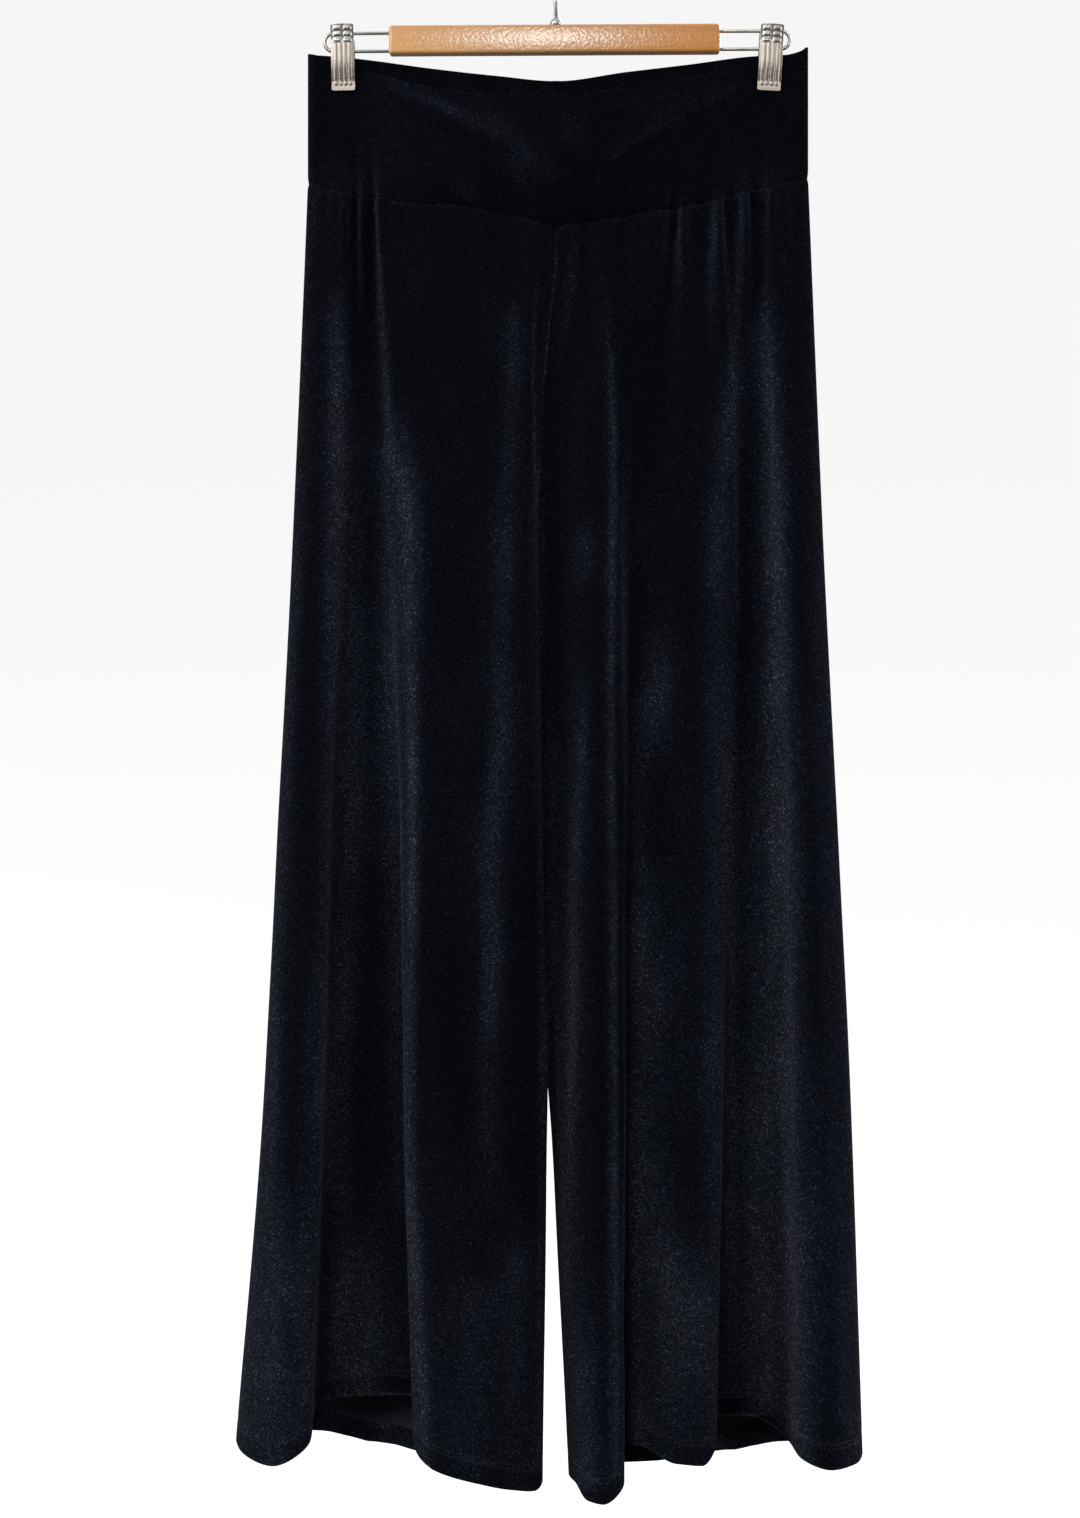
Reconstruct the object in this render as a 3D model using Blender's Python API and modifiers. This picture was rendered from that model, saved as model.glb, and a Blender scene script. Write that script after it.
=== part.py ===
"""Palazzo pants of black stretch velvet, hung by two clips from a wooden bar hanger.

Frame: metres, +Z up, +X to the wearer's left, and the wearer faces -Y. The origin is the inside of the
hook's crown, where the hanger hangs on its rail, and Y = 0 is the plane of the hanger. "Right" and "left"
in the names are the wearer's, so the right leg is the one at -X.

The cloth is one wall: a wide waistband in a front and two backs, and two legs of a front and a back panel
each. The panels are drawn as the sections of a hanging leg, through the folds listed in the tables below.
"""
import math

import bpy
import bmesh
from mathutils import Matrix, Vector

MM = 0.001
GAP = 0.3 * MM

# Cloth. The waistband is made double and the hem is turned up, so both are thicker than the legs' wall.
LEG_WALL = 1.8 * MM
BAND_WALL = 2.2 * MM
HEM_WALL = 3.0 * MM
TURN_UP = 16.0 * MM
TURN_UP_STEP = 1.0 * MM

# Shares of the way from the waist seam to the hem: where the tables give the folds' places, where the
# fork of the legs is, and where the two legs have drawn fully apart below it.
LEVELS = (0.0, 0.24, 0.48, 0.74, 1.0)
FORK = 0.218
PARTED = 0.40
FORK_TURN_START = 0.035
FORK_TURN_LENGTH = 0.0385
RISE_DEPTH = 11.0 * MM

# Rows of a panel above and below the fork, how strongly they crowd towards it, the steps from one fold
# to the next round a section, and the share of such a step over which its direction is measured.
ROWS_ABOVE_FORK = 7
ROWS_BELOW_FORK = 11
CROWD_ABOVE = 1.6
CROWD_BELOW = 1.35
BAND_ROWS = 6
STEPS = 2
DIRECTION_STEP = 0.02

# Folds of the front panels from the outseam to the inner edge, in millimetres. The columns are the name,
# the place across X at the five levels, the place in Y at the five levels, and how far the waist seam and
# the hem lie below the origin there. Tubes hang forward, valleys fall back, edges overlap the next valley.
RIGHT_FRONT = (
    ("outseam",      (-187, -196, -207, -220, -240), (0, 0, 0, 0, 0),             194, 1133),
    ("tube 1 side",  (-181, -191, -202, -214, -233), (-5, -11, -16, -19, -22),    196, 1141),
    ("tube 1",       (-169, -181, -189, -197, -209), (-9, -18, -28, -35, -42),    200, 1146),
    ("tube 1 in",    (-157, -164, -171, -175, -183), (-12, -17, -25, -31, -38),   203, 1132),
    ("valley 1 out", (-150, -152, -161, -169, -177), (-8, -9, -8, -7, -6),        204, 1108),
    ("valley 1",     (-144, -142, -141, -142, -143), (-12, -8, -4, -1, 2),        205, 1104),
    ("valley 1 in",  (-138, -130, -120, -114, -106), (-8, -11, -8, -6, -4),       205, 1103),
    ("tube 2 edge",  (-131, -118, -114, -112, -105), (-13, -20, -25, -30, -34),   206, 1134),
    ("tube 2 out",   (-116, -101, -99, -97, -91),    (-11, -25, -36, -42, -48),   210, 1147),
    ("tube 2",       (-78, -64, -60, -56, -54),      (-12, -27, -40, -47, -54),   212, 1157),
    ("tube 2 in",    (-33, -38, -36, -34, -30),      (-12, -23, -33, -40, -46),   220, 1163),
    ("shoulder",     (-13, -21, -17, -16, -15),      (-16, -19, -24, -29, -34),   226, 1166),
    ("inner",        (0, -13, -10, -7, -10),         (0, 0, -13, -14, -14),       228, 1160),
)
LEFT_FRONT = (
    ("outseam",      (190, 199, 210, 222, 230),      (0, 0, 0, 0, 0),             190, 1144),
    ("tube 4 side",  (185, 193, 203, 214, 223),      (-5, -11, -16, -19, -22),    192, 1149),
    ("tube 4",       (174, 181, 189, 196, 203),      (-8, -18, -28, -35, -42),    194, 1149),
    ("tube 4 in",    (159, 167, 176, 179, 183),      (-13, -17, -24, -28, -32),   199, 1144),
    ("valley 3 out", (150, 157, 163, 167, 170),      (-8, -8, -8, -8, -7),        200, 1132),
    ("valley 3",     (140, 145, 143, 145, 147),      (-13, -7, -4, -2, 1),        202, 1119),
    ("valley 3 in",  (131, 137, 132, 127, 118),      (-8, -10, -8, -7, -5),       204, 1119),
    ("tube 3 edge",  (121, 129, 123, 121, 119),      (-13, -17, -18, -22, -26),   208, 1135),
    ("tube 3",       (108, 116, 112, 109, 108),      (-9, -19, -24, -29, -34),    211, 1148),
    ("tube 3 in",    (95, 98, 92, 90, 89),           (-14, -17, -20, -24, -28),   214, 1148),
    ("valley 2 out", (88, 74, 66, 64, 62),           (-9, -12, -13, -14, -16),    215, 1137),
    ("valley 2",     (79, 57, 54, 53, 48),           (-14, -12, -12, -12, -12),   216, 1136),
    ("inner tube edge", (50, 47, 47, 48, 50),        (-11, -21, -26, -31, -36),   221, 1162),
    ("inner tube",   (37, 38, 35, 34, 35),           (-14, -25, -36, -44, -52),   223, 1172),
    ("inner tube in", (24, 21, 19, 17, 23),          (-11, -21, -30, -37, -44),   225, 1171),
    ("shoulder",     (10, 3, 3, 4, 14),              (-14, -10, -10, -16, -28),   227, 1161),
    ("inner",        (0, -13, -15, -2, 10),          (0, 0, 8, 8, 0),             228, 1160),
)

# Folds of a back panel between its outseam and its inner edge: the share of the way across, the place in
# Y at the five levels, and how far the hem is drawn up there, in millimetres. The back's waist seam dips
# less than the front's.
BACK = (
    ("side",       0.025, (5, 9, 12, 15, 18),    0),
    ("tube 1",     0.09,  (9, 15, 21, 26, 31),   1),
    ("tube 1 in",  0.17,  (9, 15, 20, 25, 29),   5),
    ("valley 1",   0.26,  (8, 9, 11, 12, 15),    8),
    ("tube 2 out", 0.34,  (11, 16, 20, 23, 26),  4),
    ("tube 2",     0.43,  (10, 21, 28, 33, 38), -1),
    ("tube 2 in",  0.51,  (11, 16, 21, 25, 29),  1),
    ("valley 2",   0.60,  (8, 10, 12, 13, 16),   1),
    ("tube 3 out", 0.69,  (12, 17, 21, 24, 28), -3),
    ("tube 3",     0.79,  (10, 21, 26, 30, 35), -4),
    ("shoulder",   0.93,  (11, 14, 13, 13, 17), -1),
)
BACK_SEAM_MIDDLE = 214.0

# Top edge of the waistband, in millimetres: place across, then the front's place in Y and drop below the
# origin, then the back's. The clips pinch the two together, and the front sags forward between them.
BAND_TOP = (
    ("right side",        -187.0, (-4.6, 97.0),   (4.6, 97.0)),
    ("right clip outer",  -170.0, (-2.6, 101.0),  (2.6, 98.5)),
    ("right clip inner",  -149.0, (-2.6, 107.5),  (2.6, 100.5)),
    ("right quarter",      -94.0, (-16.0, 125.0), (6.0, 107.0)),
    ("right of middle",    -45.0, (-26.0, 133.0), (8.0, 112.0)),
    ("middle",               0.0, (-28.5, 134.0), (8.0, 116.0)),
    ("left of middle",      54.0, (-23.0, 127.0), (8.0, 109.0)),
    ("left quarter",       100.0, (-12.0, 116.5), (6.0, 104.0)),
    ("left clip inner",    150.0, (-2.6, 107.5),  (2.6, 98.5)),
    ("left clip outer",    172.0, (-2.6, 101.0),  (2.6, 97.5)),
    ("left side",          190.0, (-4.6, 92.0),   (4.6, 92.0)),
)
# Share of the band's height over which its wall still follows the gathers of the waist seam, how fast it
# leaves them, and the depth at the seam from which a column lies past the rounding of the side.
BAND_FREE = 0.72
BAND_LEAVING = 1.5
SIDE_ROUND = 5.0 * MM

# Soft folds across the front of the waistband, in millimetres: where each starts and ends (across, drop
# below the origin), its half width and how far it stands out.
BAND_FOLDS = (
    ((-140, 116), (-8, 188), 10, 3.5),
    ((135, 120), (34, 186), 9, 3.0),
    ((92, 128), (30, 150), 7, 2.0),
)

# Hanger. The bar, the wires and the clips' springs share a slight tilt, right end lower.
BAR_SIZE = (248 * MM, 12 * MM, 21.6 * MM)
BAR_CENTRE = Vector((-1.1 * MM, 0, -86.6 * MM))
BAR_EDGE = 2.5 * MM
HANGER_TILT = math.radians(-0.33)
WIRE_RADIUS = 1.35 * MM
WIRE_SPACING = 13.5 * MM
WIRE_ENDS = {"right": -174.8 * MM, "left": 176.6 * MM}
WIRE_DROP = -87.5 * MM
HOOK_WIRE_RADIUS = 1.8 * MM
HOOK_INNER_RADIUS = 20 * MM
HOOK_TIP_ANGLE = math.radians(195)
HOOK_NECK_RADIUS = 14 * MM
FERRULE_RADIUS = 4.5 * MM
FERRULE_HEIGHT = 5 * MM

# Clips: centre across and turn about Y of each, and the side of a jaw, from its top to its lip: drop
# below the origin and the distance of its inner face from the hanger's plane, in millimetres.
CLIPS = {"right": (-159.6 * MM, math.radians(-1.1)), "left": (160.6 * MM, math.radians(3.0))}
CLIP_WIDTH = 17.4 * MM
CLIP_MIDDLE = 100.9
CLIP_SHEET = 1.2 * MM
JAW_SIDE = (
    (76.6, 8.4), (79.4, 7.6), (83.4, 6.4), (88.9, 5.4), (93.4, 5.6), (101.4, 6.2), (108.4, 5.8),
    (114.4, 4.4), (118.9, 2.9), (122.9, 2.9), (125.2, 3.2),
)
JAW_CROWN = 1.1 * MM
JAW_LIP_FROM = 118.9
JAW_END_WIDTH = 0.9
FLUTES = 4
FLUTE_DEPTH = 0.45 * MM
FLUTES_FROM = 89.0
FLUTES_TO = 121.0
SPRING_RADIUS = 5.05 * MM
SPRING_LENGTH = 13.0 * MM

BLACK_VELVET = ("velvet", (0.006, 0.007, 0.010, 1), 0.8, 0.0)
WOOD = ("wood", (0.62, 0.38, 0.20, 1), 0.4, 0.0)
STEEL = ("plated_steel", (0.62, 0.61, 0.58, 1), 0.3, 1.0)


def ease(value):
    """0 to 1 with soft ends."""
    value = min(max(value, 0.0), 1.0)
    return value * value * (3 - 2 * value)


def smooth(places, values, at):
    """A value read from the soft curve through some places, which lie in rising order. The curve turns
    only at its places, so it never swings past them."""
    at = min(max(at, places[0]), places[-1])
    last = len(places) - 2
    span = next(i for i in range(last + 1) if at <= places[i + 1] or i == last)

    def secant(i):
        return (values[i + 1] - values[i]) / (places[i + 1] - places[i])

    def slope(i):
        if i == 0 or i > last:
            return secant(min(i, last))
        before, after = secant(i - 1), secant(i)
        return 2 * before * after / (before + after) if before * after > 0 else 0.0

    width = places[span + 1] - places[span]
    t = (at - places[span]) / width
    start = (1 + 2 * t) * (1 - t) ** 2 * values[span] + t * (1 - t) ** 2 * width * slope(span)
    end = t * t * (3 - 2 * t) * values[span + 1] - t * t * (1 - t) * width * slope(span + 1)
    return start + end


def curve_through(a, b, c, d, t):
    """A place between b and c on the curve through four points, spaced by the root of their distances."""
    knots = [0.0]
    for near, far in ((a, b), (b, c), (c, d)):
        knots.append(knots[-1] + max(math.sqrt((far - near).length), 1e-4))
    at = knots[1] + t * (knots[2] - knots[1])

    def between(p, q, low, high):
        return p.lerp(q, (at - knots[low]) / (knots[high] - knots[low]))

    ab, bc, cd = between(a, b, 0, 1), between(b, c, 1, 2), between(c, d, 2, 3)
    return between(between(ab, bc, 0, 2), between(bc, cd, 1, 3), 1, 2)


def rise(share):
    """How far the front's and the back's inner edges stand from the leg's inner line: the crotch seam
    runs down open, closes at the fork, and leaves room for the wall until it has turned to the inseam."""
    turned = fork_turn(share)
    open_part = RISE_DEPTH * math.sqrt(max(0.0, 1 - (share / FORK) ** 2))
    return GAP / 2 + open_part + LEG_WALL * math.sqrt(max(0.0, 1 - turned ** 2))


def fork_turn(share):
    """0 where a panel's inner edge faces the other leg's panel, 1 where it faces its own back."""
    return ease((share - FORK + FORK_TURN_START) / FORK_TURN_LENGTH)


def front_corners(rows, share):
    """The folds of a front panel at one level, as places in X and Y, with its inner edge last. The two
    legs share one inner line down to the fork, and draw apart below it."""
    points = [Vector((smooth(LEVELS, xs, share), smooth(LEVELS, ys, share))) * MM
              for name, xs, ys, seam, hem in rows]
    side, other_rows = (-1, LEFT_FRONT) if rows is RIGHT_FRONT else (1, RIGHT_FRONT)
    parting = ease((share - FORK) / (PARTED - FORK))
    other_x = smooth(LEVELS, other_rows[-1][1], share) * MM
    shared_x = (points[-1].x + other_x) / 2
    points[-1].x = shared_x + (points[-1].x - shared_x) * parting + side * GAP / 2
    points[-1].y = points[-1].y * parting - rise(share)
    points[0].y -= GAP / 2
    return points


def back_corners(rows, share):
    """The folds of the back panel behind a front panel, in the same order."""
    front = front_corners(rows, share)
    outseam = Vector((front[0].x, GAP / 2))
    inner = Vector((front[-1].x, front[-1].y + 2 * rise(share)))
    points = [outseam]
    for name, across, ys, drawn_up in BACK:
        x = outseam.x + (inner.x - outseam.x) * across
        points.append(Vector((x, smooth(LEVELS, ys, share) * MM)))
    points.append(inner)
    return points


def section(corners, before, after, facing):
    """Places along the curve through the corners, each with the direction out of the cloth."""
    chain = [before] + corners + [after]
    result = []
    for span in range(1, len(chain) - 2):
        last = span == len(chain) - 3
        for step in range(STEPS + last):
            t = step / STEPS
            here = curve_through(*chain[span - 1:span + 3], t)
            ahead = curve_through(*chain[span - 1:span + 3], t + DIRECTION_STEP)
            behind = curve_through(*chain[span - 1:span + 3], t - DIRECTION_STEP)
            along = (ahead - behind).normalized()
            result.append((here, facing * Vector((along.y, -along.x))))
    return result


def panel_section(rows, is_front, share):
    """One level of a leg panel from its outseam to its inner edge."""
    other_rows = LEFT_FRONT if rows is RIGHT_FRONT else RIGHT_FRONT
    front, back = front_corners(rows, share), back_corners(rows, share)
    own, opposite = (front, back) if is_front else (back, front)
    beside = front_corners(other_rows, share) if is_front else back_corners(other_rows, share)
    turned = fork_turn(share)
    after = beside[-2].lerp(opposite[-2], turned)
    facing = (1 if rows is RIGHT_FRONT else -1) * (1 if is_front else -1)
    return section(own, opposite[1], after, facing)


def drops(rows, is_front):
    """At each column of a panel, how far the waist seam and the hem lie below the origin, and how much
    higher the back's waist seam lies. That lift is gone at the fork, where the inseams meet."""
    if is_front:
        marks = list(range(len(rows)))
        seams = [seam for name, xs, ys, seam, hem in rows]
        hems = [hem for name, xs, ys, seam, hem in rows]
        lifts = [0.0] * len(rows)
    else:
        shares = [0.0] + [across for name, across, ys, drawn_up in BACK] + [1.0]
        marks = list(range(len(shares)))
        seams, hems = ([rows[0][k] + (rows[-1][k] - rows[0][k]) * s for s in shares] for k in (3, 4))
        hems = [hem - up for hem, up in zip(hems, [0] + [row[3] for row in BACK] + [0])]
        lifts = [(rows[-1][3] - BACK_SEAM_MIDDLE) * s for s in shares]
    columns = [i / STEPS for i in range((len(marks) - 1) * STEPS + 1)]
    return [tuple(smooth(marks, values, c) * MM for values in (seams, hems, lifts)) for c in columns]


def drop_at(column, share):
    """How far below the origin a column of a panel is at a share of the way down."""
    seam, hem, lift = column
    return seam + share * (hem - seam) - lift * max(0.0, 1 - share / FORK) ** 2


def leg_rows():
    """Shares of the way down at which a panel has a row: closest together at the fork."""
    above = [FORK * (1 - (1 - i / ROWS_ABOVE_FORK) ** CROWD_ABOVE) for i in range(ROWS_ABOVE_FORK + 1)]
    below = [FORK + (1 - FORK) * (i / ROWS_BELOW_FORK) ** CROWD_BELOW for i in range(1, ROWS_BELOW_FORK)]
    return above + below


def material(spec):
    name, colour, roughness, metallic = spec
    found = bpy.data.materials.get(name)
    if found:
        return found
    made = bpy.data.materials.new(name)
    made.use_nodes = True
    shader = made.node_tree.nodes["Principled BSDF"]
    shader.inputs["Base Color"].default_value = colour
    shader.inputs["Roughness"].default_value = roughness
    shader.inputs["Metallic"].default_value = metallic
    return made


def finish(obj, collection, spec):
    """Moves an object into the part's collection and gives it its material."""
    for old in list(obj.users_collection):
        old.objects.unlink(obj)
    collection.objects.link(obj)
    obj.data.materials.clear()
    obj.data.materials.append(material(spec))
    return obj


def wall(name, rows, collection, spec):
    """A closed wall from rows of (outer, inner) points: both faces, the two ends and the two edges."""
    bm = bmesh.new()
    grids = [[[bm.verts.new(pair[side]) for pair in row] for row in rows] for side in (0, 1)]
    outer, inner = grids
    last_row, last_column = len(rows) - 1, len(rows[0]) - 1
    for i in range(last_row):
        for j in range(last_column):
            bm.faces.new((outer[i][j], outer[i][j + 1], outer[i + 1][j + 1], outer[i + 1][j]))
            bm.faces.new((inner[i][j], inner[i + 1][j], inner[i + 1][j + 1], inner[i][j + 1]))
        for j in (0, last_column):
            bm.faces.new((outer[i][j], outer[i + 1][j], inner[i + 1][j], inner[i][j]))
    for i in (0, last_row):
        for j in range(last_column):
            bm.faces.new((outer[i][j], inner[i][j], inner[i][j + 1], outer[i][j + 1]))
    bmesh.ops.recalc_face_normals(bm, faces=bm.faces)
    mesh = bpy.data.meshes.new(name)
    bm.to_mesh(mesh)
    bm.free()
    mesh.shade_smooth()
    mesh.set_sharp_from_angle(angle=math.radians(40))
    obj = bpy.data.objects.new(name, mesh)
    collection.objects.link(obj)
    mesh.materials.append(material(spec))
    return obj


def leg_panel(name, rows, is_front, collection):
    """A front or back panel of one leg, its wall doubled where the hem is turned up."""
    ends = drops(rows, is_front)
    levels = [(share, 0.0, LEG_WALL) for share in leg_rows()]
    levels += [(None, TURN_UP + TURN_UP_STEP, LEG_WALL), (None, TURN_UP, HEM_WALL), (None, 0.0, HEM_WALL)]
    length = sum(hem - seam for seam, hem, lift in ends) / len(ends)
    grid = []
    for share, above_hem, thick in levels:
        at = share if share is not None else 1 - above_hem / length
        row = []
        for (place, out), column in zip(panel_section(rows, is_front, at), ends):
            drop = drop_at(column, share) if share is not None else column[1] - above_hem
            back = place - out * thick
            row.append((Vector((place.x, place.y, -drop)), Vector((back.x, back.y, -drop))))
        grid.append(row)
    return wall(name, grid, collection, BLACK_VELVET)


def band_fold(x, drop):
    """How far the soft folds across the front of the waistband stand out at a place."""
    total = 0.0
    for start, end, half_width, height in BAND_FOLDS:
        start, end = Vector(start) * MM, Vector(end) * MM
        along = end - start
        share = (Vector((x, drop)) - start).dot(along) / along.length_squared
        nearest = start + along * min(max(share, 0.0), 1.0)
        away = (Vector((x, drop)) - nearest).length / (half_width * MM)
        fade = ease(4 * share) * ease(3 * (1 - share))
        total += height * MM * fade * math.exp(-away * away)
    return total


def band_section(is_front):
    """The waist seam's section all the way across, from the right outseam to the left one."""
    halves = [[(place, out, drop_at(column, 0.0))
               for (place, out), column in zip(panel_section(rows, is_front, 0.0), drops(rows, is_front))]
              for rows in (RIGHT_FRONT, LEFT_FRONT)]
    return halves[0], halves[1][::-1]


def band_point(edge_place, seam, up, is_front):
    """The outer point of a waistband column at a share of its height: its X and Y, and its drop."""
    x = edge_place.x
    places = [row[1] * MM for row in BAND_TOP]
    column = 2 if is_front else 3
    depth = smooth(places, [row[column][0] * MM for row in BAND_TOP], x)
    top = smooth(places, [row[column][1] * MM for row in BAND_TOP], x)
    depth *= min(1.0, abs(edge_place.y) / SIDE_ROUND)
    follow = max(0.0, 1 - up / BAND_FREE) ** BAND_LEAVING
    drop = seam - GAP + (top - seam + GAP) * up
    y = depth + (edge_place.y - depth) * follow
    if is_front:
        y -= band_fold(x, drop) * ease(4 * up) * ease(4 * (1 - up))
    return Vector((x, y)), drop


def band_piece(name, columns, is_front, collection):
    """One sewn piece of the waistband, over the given columns of the waist seam."""
    facing = 1 if is_front else -1
    grid = []
    for row in range(BAND_ROWS + 1):
        points = [band_point(place, seam, row / BAND_ROWS, is_front) for place, out, seam in columns]
        line = []
        for i, (place, drop) in enumerate(points):
            out = columns[i][1]
            if 0 < i < len(points) - 1:
                along = (points[i + 1][0] - points[i - 1][0]).normalized()
                out = facing * Vector((along.y, -along.x))
            behind = place - out * BAND_WALL
            line.append((Vector((*place, -drop)), Vector((*behind, -drop))))
        grid.append(line)
    return wall(name, grid, collection, BLACK_VELVET)


def waistband(collection):
    """The front in one piece, and two backs that meet at the centre back seam."""
    right, left = band_section(True)
    middle = (Vector((0, right[-1][0].y)), Vector((0, -1)), right[-1][2])
    band_piece("waistband_front", right[:-1] + [middle] + left[1:], True, collection)
    right, left = band_section(False)
    band_piece("waistband_back_right", right, False, collection)
    band_piece("waistband_back_left", left, False, collection)


def tilted(point):
    """A point of the level hanger, turned with its slight tilt about the bar's centre."""
    offset = point - BAR_CENTRE
    turned = Vector((offset.x * math.cos(HANGER_TILT) + offset.z * math.sin(HANGER_TILT), offset.y,
                     offset.z * math.cos(HANGER_TILT) - offset.x * math.sin(HANGER_TILT)))
    return BAR_CENTRE + turned


def bar(collection):
    """The wooden bar, with lightly rounded edges."""
    bpy.ops.mesh.primitive_cube_add(size=1, location=BAR_CENTRE, rotation=(0, HANGER_TILT, 0))
    obj = bpy.context.object
    obj.name = "hanger_bar"
    obj.data.transform(Matrix.Diagonal((*BAR_SIZE, 1)))
    bevel = obj.modifiers.new("rounded edges", "BEVEL")
    bevel.width = BAR_EDGE
    bevel.segments = 2
    return finish(obj, collection, WOOD)


def arc(centre, radius, start, end, steps):
    """Points round an arc in the hanger's plane, at angles from +X towards +Z."""
    angles = [start + (end - start) * i / steps for i in range(steps + 1)]
    return [centre + radius * Vector((math.cos(a), 0, math.sin(a))) for a in angles]


def wire(name, points, radius, collection):
    """A round wire along some points, with closed ends."""
    curve = bpy.data.curves.new(name, "CURVE")
    curve.dimensions = "3D"
    curve.bevel_depth = radius
    curve.bevel_resolution = 2
    curve.use_fill_caps = True
    spline = curve.splines.new("POLY")
    spline.points.add(len(points) - 1)
    for slot, point in zip(spline.points, points):
        slot.co = (*point, 1)
    obj = bpy.data.objects.new(name, curve)
    collection.objects.link(obj)
    return finish(obj, collection, STEEL)


def clip_wire(side_name, collection):
    """The hairpin of wire out of one end of the bar, on which the clip slides."""
    bend = WIRE_SPACING / 2
    end = WIRE_ENDS[side_name]
    side = math.copysign(1, end)
    start = side * (BAR_SIZE[0] / 2 + GAP) + BAR_CENTRE.x
    centre = Vector((end - side * (WIRE_RADIUS + bend), 0, WIRE_DROP))
    turn = arc(centre, bend, math.pi / 2, math.pi / 2 - side * math.pi, 10)
    points = [Vector((start, 0, WIRE_DROP + bend))] + turn + [Vector((start, 0, WIRE_DROP - bend))]
    return wire("clip_wire_" + side_name, [tilted(point) for point in points], WIRE_RADIUS, collection)


def hook(collection):
    """The wire hook: over the rail and back under its crown, so that its stem stands below the rail."""
    radius = HOOK_INNER_RADIUS + HOOK_WIRE_RADIUS
    centre = Vector((0, 0, -HOOK_INNER_RADIUS))
    turn = -math.acos(HOOK_NECK_RADIUS / (radius + HOOK_NECK_RADIUS))
    over = arc(centre, radius, HOOK_TIP_ANGLE, turn, 22)
    reach = radius + HOOK_NECK_RADIUS
    neck_centre = centre + reach * Vector((math.cos(turn), 0, math.sin(turn)))
    neck = arc(neck_centre, HOOK_NECK_RADIUS, turn + math.pi, math.pi, 6)
    stem = Vector((0, 0, bar_top() + 2 * GAP + FERRULE_HEIGHT))
    return wire("hanger_hook", over + neck[1:] + [stem], HOOK_WIRE_RADIUS, collection)


def bar_top():
    """Height of the bar's top face under the hook, where X is 0."""
    rise_at_hook = -BAR_CENTRE.x * math.sin(-HANGER_TILT)
    return BAR_CENTRE.z + BAR_SIZE[2] / 2 / math.cos(HANGER_TILT) + rise_at_hook


def ferrule(collection):
    """The turned collar in which the hook's stem swivels on the bar."""
    lift = FERRULE_RADIUS * math.sin(abs(HANGER_TILT))
    foot = bar_top() + GAP + lift
    top = FERRULE_HEIGHT - lift
    profile = ((0, top), (0.7, top), (1, 0.7 * FERRULE_HEIGHT), (1, 0), (0, 0))
    mesh = bpy.data.meshes.new("hook_ferrule")
    points = [(share * FERRULE_RADIUS, 0, height) for share, height in profile]
    mesh.from_pydata(points, [(i, i + 1) for i in range(len(points) - 1)], [])
    obj = bpy.data.objects.new("hook_ferrule", mesh)
    collection.objects.link(obj)
    obj.location = (0, 0, foot)
    turned = obj.modifiers.new("turned", "SCREW")
    turned.steps = turned.render_steps = 20
    turned.use_merge_vertices = True
    turned.merge_threshold = 0.00001
    return finish(obj, collection, STEEL)


def jaw(name, centre_x, turn, facing, collection):
    """One pressed jaw of a clip: a crowned sheet, with upright flutes below its pivot."""
    columns = 2 * FLUTES
    rows = []
    for drop, away in JAW_SIDE:
        fluted = FLUTES_FROM < drop < FLUTES_TO
        narrow = JAW_END_WIDTH if drop in (JAW_SIDE[0][0], JAW_SIDE[-1][0]) else 1.0
        row = []
        for i in range(columns + 1):
            share = 2 * i / columns - 1
            across = share * CLIP_WIDTH / 2 * narrow
            crown = JAW_CROWN * (1 - share * share)
            groove = FLUTE_DEPTH if fluted and i % 2 else 0.0
            inside = away * MM + (crown if drop < JAW_LIP_FROM else 0.0)
            outside = inside + CLIP_SHEET - groove
            down = (drop - CLIP_MIDDLE) * MM
            x = centre_x + across * math.cos(turn) - down * math.sin(turn)
            z = -CLIP_MIDDLE * MM - down * math.cos(turn) - across * math.sin(turn)
            row.append((Vector((x, facing * outside, z)), Vector((x, facing * inside, z))))
        rows.append(row)
    return wall(name, rows, collection, STEEL)


def clip(side_name, collection):
    """A clip: two jaws on a coil spring that sits between the wires."""
    centre_x, turn = CLIPS[side_name]
    jaw("clip_front_" + side_name, centre_x, turn, -1, collection)
    jaw("clip_back_" + side_name, centre_x, turn, 1, collection)
    centre = tilted(Vector((centre_x, 0, WIRE_DROP)))
    bpy.ops.mesh.primitive_cylinder_add(vertices=20, radius=SPRING_RADIUS, depth=SPRING_LENGTH,
                                        location=centre, rotation=(0, math.pi / 2 + HANGER_TILT, 0))
    spring = bpy.context.object
    spring.name = "clip_spring_" + side_name
    spring.data.shade_smooth()
    spring.data.set_sharp_from_angle(angle=math.radians(40))
    finish(spring, collection, STEEL)


def main():
    for obj in list(bpy.data.objects):
        bpy.data.objects.remove(obj)
    part = bpy.data.collections.new("palazzo_pants_on_clip_hanger")
    bpy.context.scene.collection.children.link(part)
    waistband(part)
    for side, rows in (("right", RIGHT_FRONT), ("left", LEFT_FRONT)):
        leg_panel("leg_front_" + side, rows, True, part)
        leg_panel("leg_back_" + side, rows, False, part)
    bar(part)
    hook(part)
    ferrule(part)
    for side in ("right", "left"):
        clip_wire(side, part)
        clip(side, part)


main()
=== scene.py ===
"""Looks of the palazzo pants of black stretch velvet, hung by two clips from a wooden bar hanger.

Frame: metres, +Z up, +X to the wearer's left, and the wearer faces -Y. The origin is the inside of the
hook's crown. "Right" and "left" in the names are the wearer's, so the right leg is the one at -X. Tables
are in millimetres, and "drop" is how far below the origin a place lies.

Each sewn piece is a thin closed shell on the form of its solid, drawn through the same folds, with the
creases, gathers and seams of the real cloth added in its outer points. Its look comes from painted light:
a value at each point that paints sheen streaks into the pile's colour, and painted shade where it falls
below its rest.
"""
import math

import bmesh
import bpy
import numpy as np
from mathutils import Matrix, Vector


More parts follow.
